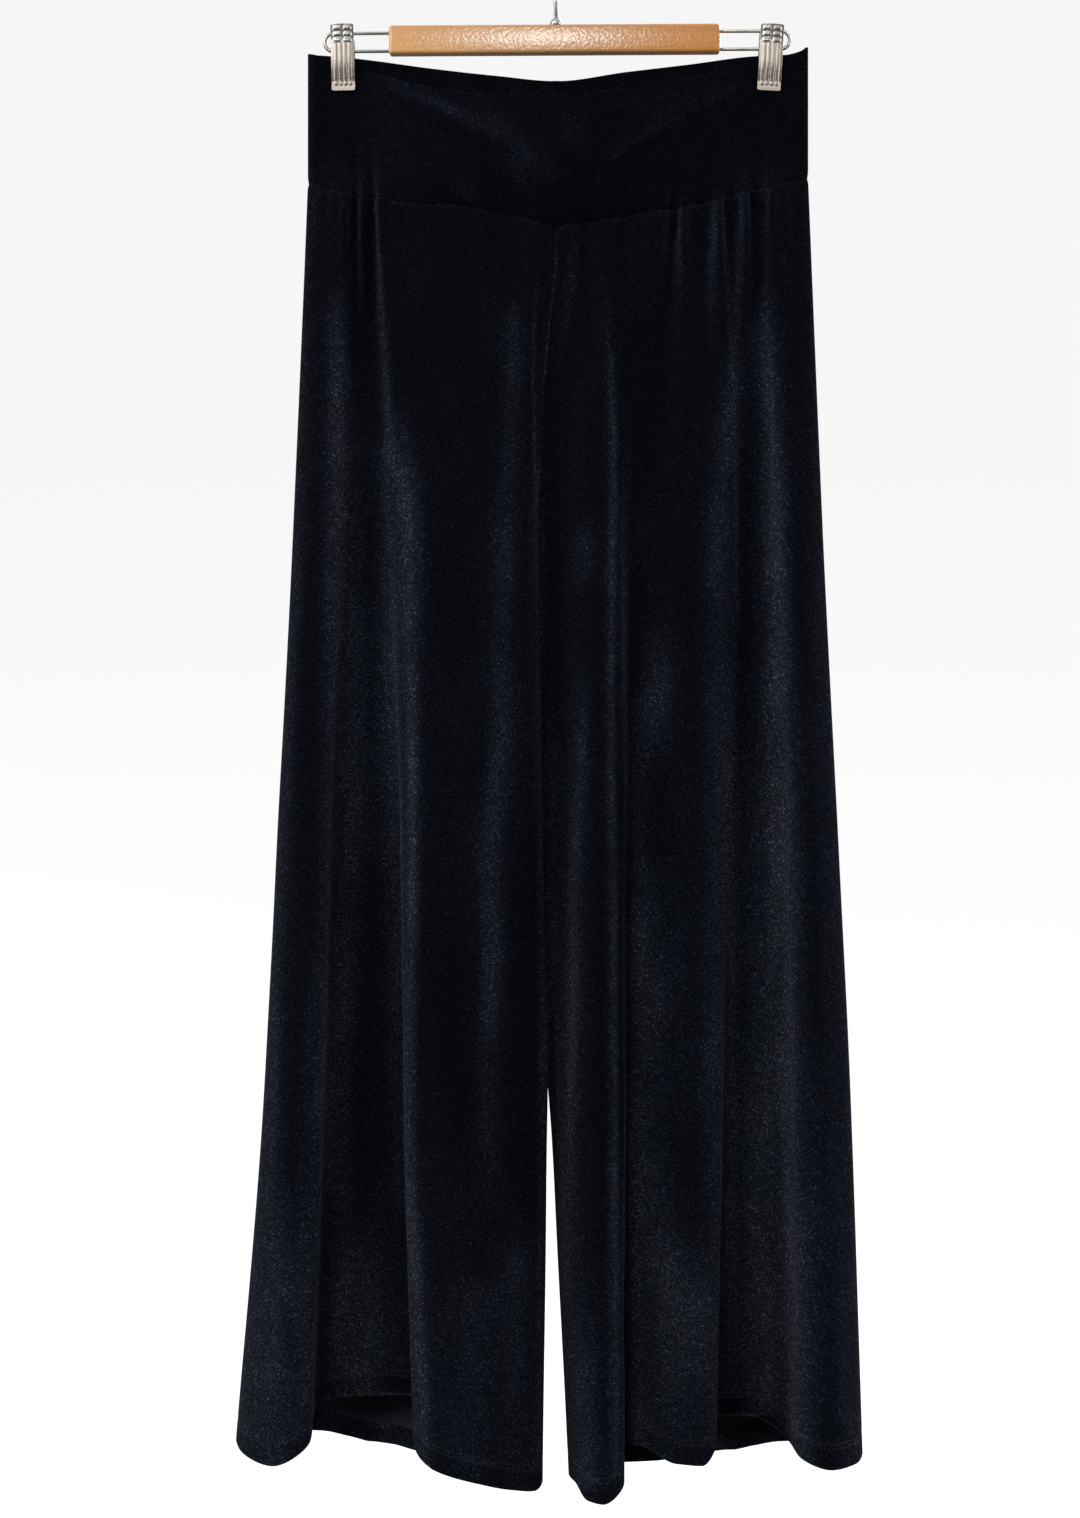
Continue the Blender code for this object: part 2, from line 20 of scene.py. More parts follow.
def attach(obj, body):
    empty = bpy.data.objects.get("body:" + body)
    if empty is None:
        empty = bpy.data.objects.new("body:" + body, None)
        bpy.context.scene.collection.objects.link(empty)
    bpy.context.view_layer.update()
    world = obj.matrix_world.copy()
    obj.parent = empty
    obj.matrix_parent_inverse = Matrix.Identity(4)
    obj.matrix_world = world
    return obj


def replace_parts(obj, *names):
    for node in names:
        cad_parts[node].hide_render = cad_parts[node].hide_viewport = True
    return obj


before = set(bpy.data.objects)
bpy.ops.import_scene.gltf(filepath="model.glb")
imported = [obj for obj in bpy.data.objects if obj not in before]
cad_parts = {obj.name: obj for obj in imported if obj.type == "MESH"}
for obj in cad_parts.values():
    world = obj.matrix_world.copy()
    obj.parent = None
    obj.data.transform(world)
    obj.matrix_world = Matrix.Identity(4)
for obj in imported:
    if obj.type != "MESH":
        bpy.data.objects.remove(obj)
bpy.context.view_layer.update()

# The gap at the seams, and how near two points of a turned profile lie to be made one.
MM = 0.001
GAP = 0.3 * MM
SAME_POINT = 0.01 * MM
SIDES = ("right", "left")

# Cloth, as in the part's source: its walls, the hem's turn-up and the step to it, and the rounding of its
# edges. Then, as shares of a leg's length, the five levels of the fold tables, the fork, where the legs
# have parted, and where the inner edges turn from the other leg to their own back. Last, how deep the
# front and the back stand apart between the legs above the fork.
LEG_WALL = 1.8 * MM
BAND_WALL = 2.2 * MM
HEM_WALL = 3.0 * MM
TURN_UP = 16.0 * MM
TURN_UP_STEP = 1.5 * MM
EDGE_ROUND = 0.8 * MM
EDGE_SEGMENTS = 3
EDGE_ANGLE = math.radians(55)
LEVELS = (0.0, 0.24, 0.48, 0.74, 1.0)
FORK = 0.218
PARTED = 0.40
FORK_TURN_START = 0.035
FORK_TURN_LENGTH = 0.0385
RISE_DEPTH = 11.0 * MM

# Fineness of the shells: columns from one fold to the next, how strongly they crowd at the side edges,
# and the rows in the gathers under the waist seam, down the leg, in the hem and up the waistband.
COLUMN_STEPS = 9
EDGE_STEPS = 13
EDGE_CROWD = 1.7
GATHER_ROWS = 12
GATHER_ZONE = 0.012
LEG_ROWS = 185
HEM_ROWS = 26
HEM_ZONE = 30.0 * MM
BAND_ROWS = 52
DIRECTION_STEP = 0.02

# Folds of the front panels from the outseam to the inner edge: place across X and place in Y at the five
# levels, and how far the waist seam and the hem lie below the origin there.
RIGHT_FRONT = (
    ("outseam",      (-187, -196, -207, -220, -240), (0, 0, 0, 0, 0),             194, 1133),
    ("tube 1 side",  (-181, -191, -202, -214, -233), (-5, -11, -16, -19, -22),    196, 1141),
    ("tube 1",       (-169, -181, -189, -197, -209), (-9, -18, -28, -35, -42),    200, 1146),
    ("tube 1 in",    (-157, -164, -171, -175, -183), (-12, -17, -25, -31, -38),   203, 1132),
    ("valley 1 out", (-150, -152, -161, -169, -177), (-8, -9, -8, -7, -6),        204, 1108),
    ("valley 1",     (-144, -142, -141, -142, -143), (-12, -8, -4, -1, 2),        205, 1104),
    ("valley 1 in",  (-138, -130, -120, -114, -106), (-8, -11, -8, -6, -4),       205, 1103),
    ("tube 2 edge",  (-131, -118, -114, -112, -105), (-13, -20, -25, -30, -34),   206, 1134),
    ("tube 2 out",   (-116, -101, -99, -97, -91),    (-11, -25, -36, -42, -48),   210, 1147),
    ("tube 2",       (-78, -64, -60, -56, -54),      (-12, -27, -40, -47, -54),   212, 1157),
    ("tube 2 in",    (-33, -38, -36, -34, -30),      (-12, -23, -33, -40, -46),   220, 1163),
    ("shoulder",     (-13, -21, -17, -16, -15),      (-16, -19, -24, -29, -34),   226, 1166),
    ("inner",        (0, -13, -10, -7, -10),         (0, 0, -13, -14, -14),       228, 1160),
)
LEFT_FRONT = (
    ("outseam",      (190, 199, 210, 222, 230),      (0, 0, 0, 0, 0),             190, 1144),
    ("tube 4 side",  (185, 193, 203, 214, 223),      (-5, -11, -16, -19, -22),    192, 1149),
    ("tube 4",       (174, 181, 189, 196, 203),      (-8, -18, -28, -35, -42),    194, 1149),
    ("tube 4 in",    (159, 167, 176, 179, 183),      (-13, -17, -24, -28, -32),   199, 1144),
    ("valley 3 out", (150, 157, 163, 167, 170),      (-8, -8, -8, -8, -7),        200, 1132),
    ("valley 3",     (140, 145, 143, 145, 147),      (-13, -7, -4, -2, 1),        202, 1119),
    ("valley 3 in",  (131, 137, 132, 127, 118),      (-8, -10, -8, -7, -5),       204, 1119),
    ("tube 3 edge",  (121, 129, 123, 121, 119),      (-13, -17, -18, -22, -26),   208, 1135),
    ("tube 3",       (108, 116, 112, 109, 108),      (-9, -19, -24, -29, -34),    211, 1148),
    ("tube 3 in",    (95, 98, 92, 90, 89),           (-14, -17, -20, -24, -28),   214, 1148),
    ("valley 2 out", (88, 74, 66, 64, 62),           (-9, -12, -13, -14, -16),    215, 1137),
    ("valley 2",     (79, 57, 54, 53, 48),           (-14, -12, -12, -12, -12),   216, 1136),
    ("inner tube edge", (50, 47, 47, 48, 50),        (-11, -21, -26, -31, -36),   221, 1162),
    ("inner tube",   (37, 38, 35, 34, 35),           (-14, -25, -36, -44, -52),   223, 1172),
    ("inner tube in", (24, 21, 19, 17, 23),          (-11, -21, -30, -37, -44),   225, 1171),
    ("shoulder",     (10, 3, 3, 4, 14),              (-14, -10, -10, -16, -28),   227, 1161),
    ("inner",        (0, -13, -15, -2, 10),          (0, 0, 8, 8, 0),             228, 1160),
)

# Folds of a back panel between its outseam and its inner edge: the share of the way across, the place in
# Y at the five levels, and how far the hem is drawn up there.
BACK = (
    ("side",       0.025, (5, 9, 12, 15, 18),    0),
    ("tube 1",     0.09,  (9, 15, 21, 26, 31),   1),
    ("tube 1 in",  0.17,  (9, 15, 20, 25, 29),   5),
    ("valley 1",   0.26,  (8, 9, 11, 12, 15),    8),
    ("tube 2 out", 0.34,  (11, 16, 20, 23, 26),  4),
    ("tube 2",     0.43,  (10, 21, 28, 33, 38), -1),
    ("tube 2 in",  0.51,  (11, 16, 21, 25, 29),  1),
    ("valley 2",   0.60,  (8, 10, 12, 13, 16),   1),
    ("tube 3 out", 0.69,  (12, 17, 21, 24, 28), -3),
    ("tube 3",     0.79,  (10, 21, 26, 30, 35), -4),
    ("shoulder",   0.93,  (11, 14, 13, 13, 17), -1),
)
BACK_SEAM_MIDDLE = 214.0

# Top edge of the waistband: place across, then the front's place in Y and drop, then the back's.
BAND_TOP = (
    ("right side",        -187.0, (-4.6, 97.0),   (4.6, 97.0)),
    ("right clip outer",  -170.0, (-2.6, 101.0),  (2.6, 98.5)),
    ("right clip inner",  -149.0, (-2.6, 107.5),  (2.6, 100.5)),
    ("right quarter",      -94.0, (-16.0, 125.0), (6.0, 107.0)),
    ("right of middle",    -45.0, (-26.0, 133.0), (8.0, 112.0)),
    ("middle",               0.0, (-28.5, 134.0), (8.0, 116.0)),
    ("left of middle",      54.0, (-23.0, 127.0), (8.0, 109.0)),
    ("left quarter",       100.0, (-12.0, 116.5), (6.0, 104.0)),
    ("left clip inner",    150.0, (-2.6, 107.5),  (2.6, 98.5)),
    ("left clip outer",    172.0, (-2.6, 101.0),  (2.6, 97.5)),
    ("left side",          190.0, (-4.6, 92.0),   (4.6, 92.0)),
)

# Up to what share of its height the waistband still follows the waist seam's folds, how fast it leaves
# them, how far from its sides it is rounded, and how steeply its sway and its folds come in from its top
# and its low edge.
BAND_FREE = 0.72
BAND_LEAVING = 3.2
SIDE_ROUND = 5.0 * MM
BAND_SWAY_RISE = 5
BAND_FOLD_RISE = 4

# Folds across the front of the waistband: start and end (across, drop), half width above the fold's
# crest and below it, and how far it stands out.
BAND_FOLDS = (
    ((-146, 112), (-8, 188), 13, 5.0, 3.8),
    ((140, 114), (34, 186), 12, 5.0, 3.2),
    ((96, 126), (30, 150), 9, 4.5, 2.0),
    ((-150, 124), (-96, 178), 8, 5.0, 1.0),
    ((150, 124), (112, 176), 8, 5.0, 0.9),
    ((-60, 150), (-38, 186), 9, 6.0, 0.9),
    ((-176, 122), (-178, 186), 5, 4.0, 0.5),
    ((181, 118), (180, 182), 5, 4.0, 0.5),
)

# Gathers that run down from the waist seam: place across, length, half width and height.
FRONT_GATHERS = (
    (-178, 60, 3.0, 0.7), (-166, 40, 2.5, 0.6), (-157, 75, 3.2, 1.2), (-145, 105, 3.0, 1.5),
    (-133, 130, 3.4, 1.7), (-122, 50, 2.8, 0.8), (-108, 38, 2.6, 0.5), (-92, 60, 3.6, 0.6),
    (-71, 34, 3.0, 0.4), (-52, 52, 3.2, 0.5), (-30, 36, 3.0, 0.4), (15, 92, 3.4, 1.0),
    (28, 48, 3.0, 0.7), (41, 88, 3.2, 0.9), (58, 40, 3.0, 0.6), (72, 64, 2.8, 0.9),
    (84, 78, 3.0, 1.4), (95, 70, 2.8, 1.4), (107, 44, 2.6, 0.9), (121, 120, 3.2, 1.7),
    (132, 56, 2.8, 1.0), (141, 118, 3.2, 1.6), (151, 66, 2.8, 1.0), (161, 52, 2.6, 1.1),
    (172, 60, 3.0, 0.8), (182, 44, 2.6, 0.5),
)
BACK_GATHERS = (
    (-176, 52, 3.0, 0.7), (-160, 90, 3.2, 1.1), (-149, 60, 2.8, 1.0), (-131, 110, 3.4, 1.4),
    (-118, 48, 2.8, 0.8), (-97, 72, 3.2, 0.9), (-84, 44, 2.8, 0.6), (-66, 96, 3.4, 1.2),
    (-51, 50, 2.8, 0.7), (-33, 66, 3.0, 0.8), (-18, 40, 2.8, 0.5), (17, 54, 3.0, 0.6),
    (31, 80, 3.0, 0.9), (49, 46, 2.8, 0.7), (63, 104, 3.4, 1.3), (79, 58, 2.8, 0.8),
    (96, 84, 3.2, 1.0), (115, 50, 2.8, 0.8), (129, 116, 3.4, 1.4), (146, 62, 2.8, 0.9),
    (158, 88, 3.2, 1.1), (177, 48, 3.0, 0.6),
)

# Of each gather: how far off its place the cloth may be, how far below the seam it is full, how it thins
# out, and its troughs: their share of its height, and their place and width in its half widths.
GATHER_REACH = 3 * MM
GATHER_START = 3 * MM
GATHER_THINNING = 1.3
TROUGH_SHARE, TROUGH_PLACE, TROUGH_WIDTH = 0.45, 2.1, 0.9

# Long creases of the hanging cloth: places (across, drop) it runs through, half width, and height, which
# is negative in a trough.
FRONT_CREASES = (
    (((-164, 290), (-166, 480), (-172, 700), (-178, 960)), 9, 1.6),
    (((-178, 330), (-188, 620), (-205, 1000)), 7, -0.9),
    (((-118, 340), (-104, 520), (-102, 800), (-96, 1080)), 7, 1.2),
    (((-84, 300), (-78, 520), (-80, 760)), 12, -1.3),
    (((-56, 360), (-50, 620), (-52, 900), (-48, 1100)), 10, 1.5),
    (((-40, 320), (-34, 560), (-31, 820)), 7, -0.9),
    (((14, 250), (6, 330), (3, 400)), 6, 1.0),
    (((30, 420), (28, 640), (24, 900)), 8, 1.2),
    (((46, 330), (46, 600), (48, 900), (50, 1120)), 5, 1.2),
    (((72, 480), (80, 640), (84, 860)), 12, 1.4),
    (((98, 360), (104, 600), (100, 900)), 8, -1.1),
    (((130, 330), (132, 560), (128, 800)), 8, 1.5),
    (((178, 360), (184, 640), (192, 980)), 9, 1.4),
    (((166, 420), (170, 700), (176, 960)), 7, -1.0),
)
BACK_CREASES = (
    (((-172, 300), (-184, 620), (-204, 1020)), 9, 1.4),
    (((-150, 330), (-158, 640), (-168, 980)), 8, -1.1),
    (((-112, 290), (-116, 560), (-118, 900)), 10, 1.6),
    (((-78, 360), (-76, 700), (-78, 1050)), 9, -1.2),
    (((-44, 300), (-42, 620), (-46, 980)), 9, 1.3),
    (((36, 330), (38, 600), (44, 980)), 9, 1.4),
    (((70, 300), (76, 640), (84, 1020)), 10, -1.2),
    (((108, 360), (118, 660), (124, 1000)), 9, 1.5),
    (((142, 300), (154, 620), (166, 960)), 8, -1.1),
    (((172, 340), (186, 640), (202, 1010)), 9, 1.4),
)

# Of each crease: how far off its line the cloth may be, how much nearness to the side plane counts where
# the cloth passes its line twice, and its width in half widths at its top and how much wider it ends.
CREASE_REACH = 6 * MM
CREASE_TO_SIDE = 0.1
CREASE_WIDTH, CREASE_WIDENING = 0.7, 0.5

# Streaks of sheen painted into the pile's colour, or of painted shade where the strength is negative: half
# width on the side towards -X and towards +X, then the places (across, drop, strength) that the streak
# runs through. On the waistband the streaks are slanted, and the half widths are above and below.
FRONT_PAINTED_STREAKS = (
    (9, 8, ((-162, 262, 0), (-163, 300, 0.45), (-162, 345, 0.60), (-163, 430, 0.55), (-166, 520, 0.50),
            (-166, 640, 0.50), (-170, 720, 0.42), (-169, 860, 0.44), (-172, 940, 0.38), (-170, 1010, 0))),
    (10, 10, ((-152, 300, 0), (-152, 400, 0.24), (-153, 493, 0.42), (-152, 611, 0.50), (-153, 671, 0.60),
              (-156, 730, 0.58), (-158, 790, 0.54), (-161, 910, 0.46), (-159, 996, 0.34),
              (-160, 1070, 0))),
    (12, 12, ((-160, 970, 0), (-162, 1026, 0.60), (-163, 1110, 0.60))),
    (12, 10, ((-138, 480, 0), (-137, 600, 0.20), (-137, 700, 0.10), (-137, 967, 0.14), (-140, 1026, 0.46),
              (-142, 1110, 0.52))),
    (9, 5, ((-123, 480, 0), (-123, 540, 0.24), (-122, 611, 0.46), (-121, 671, 0.50), (-120, 730, 0.46),
            (-120, 820, 0.40), (-119, 907, 0.32), (-118, 967, 0.26), (-118, 1000, 0))),
    (14, 8, ((-122, 980, 0), (-122, 1010, 0.16), (-122, 1055, 0.28), (-122, 1150, 0.24))),
    (16, 12, ((-146, 1070, 0), (-146, 1100, 0.12), (-146, 1150, 0.12))),
    (4, 4, ((-133, 200, -0.10), (-133, 225, 0), (-133, 271, 0.16), (-130, 300, 0.20), (-126, 345, 0.34),
            (-124, 389, 0.40), (-118, 420, 0.15), (-114, 440, 0))),
    (7, 7, ((-145, 196, -0.20), (-145, 300, -0.12), (-145, 400, 0))),
    (9, 8, ((-184, 740, 0), (-182, 790, 0.12), (-180, 850, 0.24), (-181, 907, 0.26), (-182, 967, 0.40),
            (-184, 1026, 0.30), (-185, 1078, 0.28), (-186, 1150, 0.15))),
    (18, 14, ((-200, 925, 0), (-202, 960, 0.30), (-204, 1020, 0.44), (-208, 1150, 0.42))),
    (12, 10, ((-118, 350, 0), (-113, 390, 0.34), (-110, 434, 0.70), (-108, 478, 0.72), (-108, 523, 0.56),
              (-109, 570, 0.22), (-109, 600, 0))),
    (5, 6, ((-108, 540, 0), (-107, 582, 0.44), (-106, 641, 0.58), (-106, 700, 0.60), (-107, 760, 0.48),
            (-109, 820, 0.38), (-110, 878, 0.48), (-108.5, 937, 0.58), (-104, 996, 0.56),
            (-101, 1055, 0.50), (-98, 1100, 0.50), (-97, 1150, 0.40))),
    (3, 3, ((-116, 510, 0), (-117, 540, -0.08), (-116, 640, -0.20), (-116, 720, -0.12), (-115, 790, 0))),
    (8, 5, ((-128, 380, 0), (-128, 404, 0.22), (-128, 530, 0.24), (-128, 600, 0.14), (-128, 650, 0))),
    (20, 14, ((-80, 730, 0), (-80, 790, -0.07), (-78, 880, -0.08), (-78, 960, 0))),
    (14, 12, ((-46, 268, 0), (-45, 300, 0.10), (-44, 345, 0))),
    (50, 44, ((-62, 190, -0.10), (-62, 290, -0.09), (-62, 400, 0))),
    (34, 40, ((56, 190, -0.07), (56, 380, -0.05), (56, 440, 0))),
    (8, 9, ((-31, 278, 0), (-31, 301, 0.32), (-32, 345, 0.34), (-34, 389, 0.24), (-38, 434, 0.38),
            (-38, 478, 0.48), (-40, 523, 0.32), (-40, 582, 0.40), (-45, 641, 0.54), (-49.5, 700, 0.50),
            (-47.5, 760, 0.56), (-48.5, 800, 0.60), (-50, 850, 0.34), (-50, 930, 0.22), (-50, 970, 0))),
    (12, 5, ((-47, 420, 0), (-47, 455, 0.20), (-47, 480, 0.18), (-47, 520, 0.06), (-47, 570, 0.14),
             (-47, 620, 0))),
    (14, 12, ((-66, 600, 0), (-64, 680, 0.06), (-62, 760, 0))),
    (12, 8, ((-30, 540, 0), (-30, 600, 0.12), (-30, 660, 0.12), (-30, 700, 0.04), (-30, 760, 0))),
    (3.5, 4, ((-13, 390, 0), (-13, 430, 0.50), (-12.5, 480, 0.75), (-12.5, 600, 0.58), (-11.5, 700, 0.50),
              (-10.5, 850, 0.60), (-11.5, 1000, 0.55), (-13, 1150, 0.50))),
    (3, 5, ((-6, 560, 0), (-6, 620, 0.40), (-5, 760, 0.75), (-5, 900, 0.75), (-6, 990, 0.30),
            (-6, 1030, 0))),
    (2.5, 3, ((1, 560, 0), (0, 640, 0.10), (0, 780, 0.16), (0.5, 900, 0.24), (3, 1000, 0.20),
              (4, 1040, 0))),
    (7, 8, ((7, 400, 0), (8, 450, -0.12), (8, 540, -0.20), (7, 640, -0.14), (7, 740, -0.08),
            (7, 800, 0))),
    (14, 9, ((24, 488, 0), (24, 508, -0.09), (24, 556, -0.09), (24, 576, 0))),
    (12, 13, ((-50, 660, 0), (-54, 700, 0.09), (-56, 745, 0.09), (-56, 780, 0))),
    (10, 16, ((-92, 840, 0), (-92, 890, 0.09), (-90, 950, 0.08), (-90, 990, 0))),
    (1.5, 1.3, ((-13, 255, 0), (-16, 300, 0.40), (-17, 350, 0.45), (-15.5, 395, 0.40), (-15.5, 500, 0))),
    (1.1, 0.9, ((0.2, 226, 0.30), (-0.4, 262, 0.45), (-6, 309, 0.50), (-9.5, 350, 0.45),
                (-12.7, 416, 0.40), (-14, 470, 0))),
    (18, 15, ((-62, 1000, 0), (-54, 1024, 0.26), (-62, 1060, 0.22), (-64, 1150, 0.20))),
    (15, 15, ((-26, 972, 0), (-28, 1000, 0.36), (-28, 1040, 0.28), (-28, 1080, 0.14), (-28, 1150, 0.10))),
    (4, 4, ((15, 230, 0), (13, 245, 0.20), (11, 271, 0.28), (6.5, 301, 0.25), (4, 324, 0))),
    (5, 3.5, ((37, 262, 0), (39, 301, 0.22), (41, 345, 0.47), (43, 389, 0.58), (43, 434, 0.60),
              (42, 478, 0.58), (41, 523, 0.52), (41, 641, 0.50), (42.5, 700, 0.44), (43.5, 760, 0.50),
              (43.5, 937, 0.48), (44, 1055, 0.38), (44, 1150, 0.30))),
    (2.6, 4, ((48.5, 520, 0), (48.5, 580, -0.30), (48.5, 660, -0.62), (49, 900, -0.62),
              (49.5, 1060, -0.50), (50, 1150, -0.30))),
    (8, 8, ((20, 440, 0), (20.5, 470, 0.38), (20, 505, 0))),
    (6, 5, ((20, 545, 0), (20, 582, 0.20), (19, 611, 0.38), (16, 660, 0.40), (13, 700, 0.42),
            (12, 760, 0.54), (11.5, 819, 0.62), (10, 878, 0.62), (7, 937, 0.50), (6, 1000, 0.40),
            (9, 1050, 0.30), (9, 1090, 0))),
    (15, 13, ((20, 1030, 0), (18, 1070, 0.26), (20, 1150, 0.38))),
    (12, 15, ((68, 400, 0), (68, 450, 0.12), (75, 520, 0.20), (75.5, 560, 0.48), (75, 590, 0.50),
              (75, 640, 0))),
    (22, 18, ((86, 610, 0), (86, 650, 0.09), (86, 700, 0.09), (86, 750, 0.24), (88, 820, 0.24),
              (88, 878, 0.20), (84, 940, 0.08), (88, 996, 0.14), (90, 1040, 0))),
    (12, 12, ((69, 690, 0.02), (67, 760, 0.42), (71, 800, 0.46), (72, 850, 0.32), (72, 930, 0.30),
              (80, 980, 0))),
    (7, 8, ((61, 560, 0), (62, 611, 0.34), (61, 671, 0.28), (61, 730, 0.30), (60, 789, 0.54),
            (60, 848, 0.40), (59, 907, 0.60), (59, 1026, 0.60), (60, 1150, 0.66))),
    (17, 17, ((72, 905, 0), (72, 967, 0.40), (82, 1000, 0.54), (86, 1050, 0.56), (82, 1110, 0.36),
              (80, 1150, 0.26))),
    (12, 8, ((108, 980, 0), (107, 1020, 0.24), (106, 1080, 0.14), (104, 1150, 0))),
    (2.5, 2.5, ((84, 214, 0.10), (82, 241, 0.28), (82, 266, 0))),
    (2.5, 2.5, ((92, 212, 0.05), (91.5, 241, 0.28), (92, 275, 0.10), (92, 300, 0))),
    (3.5, 3.5, ((118, 205, 0.20), (117, 241, 0.42), (115, 271, 0.30), (116, 301, 0.15), (117, 335, 0))),
    (3.5, 3.5, ((139, 203, 0.20), (136, 241, 0.42), (136, 271, 0.44), (135, 301, 0.40), (131, 345, 0))),
    (2.5, 2.5, ((158, 196, 0.25), (157, 225, 0.15), (157, 245, 0))),
    (10, 10, ((136, 300, 0), (133, 345, 0.42), (128, 389, 0.52), (122, 434, 0.46), (120, 478, 0.52),
              (121, 523, 0.42), (119, 582, 0.38), (120, 641, 0.36), (119, 700, 0.34), (117, 760, 0.42),
              (116, 878, 0.42), (117, 937, 0.28), (116, 996, 0.20), (114, 1150, 0.18))),
    (6, 6, ((130, 520, 0), (131, 611, 0.34), (131, 671, 0.50), (131, 760, 0.58), (131, 850, 0.62),
            (131, 967, 0.62), (131, 1026, 0.40), (131, 1100, 0.20))),
    (9, 8, ((147, 360, 0), (147, 420, 0.12), (145, 600, 0.14), (144, 680, 0.30), (145, 800, 0.36),
            (145, 960, 0.52), (146, 1020, 0.40), (146, 1110, 0.34))),
    (9, 8, ((156, 520, 0), (156, 611, 0.26), (157, 730, 0.30), (157, 800, 0.42), (157, 907, 0.52),
            (157, 967, 0.56), (158, 1050, 0.52), (159, 1110, 0.50))),
    (10, 11, ((156, 262, 0), (156, 280, 0.16), (155, 301, 0.44), (157, 345, 0.56), (160, 389, 0.60),
              (162, 434, 0.76), (163, 523, 0.70), (165, 641, 0.78), (168, 760, 0.68), (171, 878, 0.66),
              (174, 996, 0.68), (178, 1100, 0.48), (180, 1150, 0.42))),
    (10, 10, ((184, 540, 0), (184, 611, 0.20), (184, 700, 0.12), (186, 789, 0.08), (191, 830, 0.18),
              (192, 900, 0.22), (193, 967, 0.36), (193, 1026, 0.12), (193, 1100, 0))),
    (5, 8, ((206, 720, 0), (213, 880, -0.14), (219, 1000, -0.20), (223, 1100, -0.20))),
    (5, 5, ((-206, 780, 0), (-209, 819, 0.22), (-211, 937, 0.22), (-214, 970, 0))),
    (14, 14, ((206, 860, 0), (209, 937, 0.12), (212, 1000, 0.08), (214, 1060, 0))),
)
BACK_PAINTED_STREAKS = (
    (9, 7, ((-168, 240, 0), (-172, 340, 0.50), (-182, 640, 0.60), (-192, 900, 0.40), (-200, 1120, 0.30))),
    (6, 5, ((-118, 225, 0.10), (-115, 380, 0.62), (-120, 640, 0.74), (-124, 900, 0.56),
            (-128, 1130, 0.60))),
    (14, 13, ((-92, 400, 0), (-92, 470, 0.40), (-94, 560, 0.34), (-96, 680, 0))),
    (8, 9, ((-40, 250, 0), (-46, 420, 0.44), (-44, 620, 0.52), (-48, 860, 0.40), (-50, 1080, 0.20))),
    (7, 8, ((26, 270, 0), (30, 440, 0.50), (34, 680, 0.44), (38, 960, 0.30), (40, 1100, 0))),
    (6, 9, ((84, 230, 0.10), (88, 400, 0.66), (94, 640, 0.76), (98, 880, 0.60), (102, 1130, 0.60))),
    (12, 13, ((118, 440, 0), (120, 540, 0.40), (124, 640, 0.32), (127, 760, 0))),
    (9, 10, ((160, 240, 0), (168, 420, 0.66), (180, 700, 0.70), (190, 940, 0.56), (198, 1130, 0.46))),
    (3, 3, ((-131, 214, 0.20), (-131, 250, 0.40), (-130, 310, 0.20), (-130, 350, 0))),
    (3, 3, ((-66, 214, 0.20), (-66, 246, 0.36), (-66, 300, 0.10), (-66, 320, 0))),
    (3, 3, ((63, 212, 0.20), (63, 250, 0.38), (64, 304, 0.12), (64, 330, 0))),
    (3, 3, ((129, 205, 0.20), (130, 250, 0.40), (131, 300, 0.20), (132, 350, 0))),
    (24, 24, ((-64, 920, 0), (-62, 1000, 0.30), (-60, 1140, 0.32))),
    (24, 22, ((108, 930, 0), (112, 1030, 0.30), (114, 1140, 0.30))),
)
BAND_PAINTED_STREAKS = (
    (9, 4, ((-144, 112, 0), (-120, 124, 0.20), (-96, 136, 0.24), (-60, 156, 0.26), (-36, 170, 0.22),
            (-8, 188, 0))),
    (15, 13, ((-68, 130, 0), (-48, 150, 0.22), (-30, 166, 0.22), (-14, 178, 0.10), (0, 186, 0))),
    (9, 12, ((-50, 176, 0), (-32, 184, 0.28), (-12, 188, 0.18), (6, 192, 0))),
    (12, 12, ((-4, 152, 0), (8, 158, 0.14), (22, 166, 0.10), (32, 174, 0))),
    (5, 3, ((30, 186, 0), (48, 175, 0.20), (70, 162, 0.18), (92, 150, 0.18), (120, 132, 0.24),
            (148, 117, 0))),
    (6, 4, ((40, 151, 0), (64, 142, 0.16), (88, 132, 0.12), (96, 128, 0))),
    (5, 4, ((20, 206, 0), (30, 199, 0.20), (42, 192, 0))),
    (8, 7, ((-82, 199, 0), (-66, 202, 0.34), (-50, 205, 0))),
    (4, 4, ((-142, 126, 0), (-118, 138, -0.07), (-95, 150, -0.08), (-68, 164, -0.07), (-44, 178, 0))),
)

# Light painted into the pile's colour, up to 1: at rest on the legs and on the waistband, how unevenly, how
# much more down to the hem, and painted highlights beside the waist seam and at the waistband's top edge.
PAINTED_LIGHT_REST = 0.145
PAINTED_LIGHT_BAND = 0.08
PAINTED_LIGHT_SWAY = 0.04
PAINTED_LIGHT_BAND_SWAY = 0.03
PAINTED_LIGHT_HEM = 0.15
PAINTED_LIGHT_HEM_FROM = 900 * MM
PAINTED_LIGHT_HEM_LENGTH = 180 * MM
PAINTED_SEAM_HIGHLIGHT = 0.20
PAINTED_SEAM_HIGHLIGHT_PLACE = 0.7 * MM
PAINTED_SEAM_HIGHLIGHT_WIDTH = 0.9 * MM
PAINTED_BAND_EDGE_HIGHLIGHT = 0.14
PAINTED_BAND_EDGE_HIGHLIGHT_WIDTH = 1.5 * MM
PAINTED_LIGHT_LEAST, PAINTED_LIGHT_MOST = -0.5, 1

# Painted light that the pile on the cloth's inside has over the outside, in the legs and in the waistband.
PAINTED_LIGHT_INSIDE = 0.40
PAINTED_LIGHT_BAND_INSIDE = 0.05

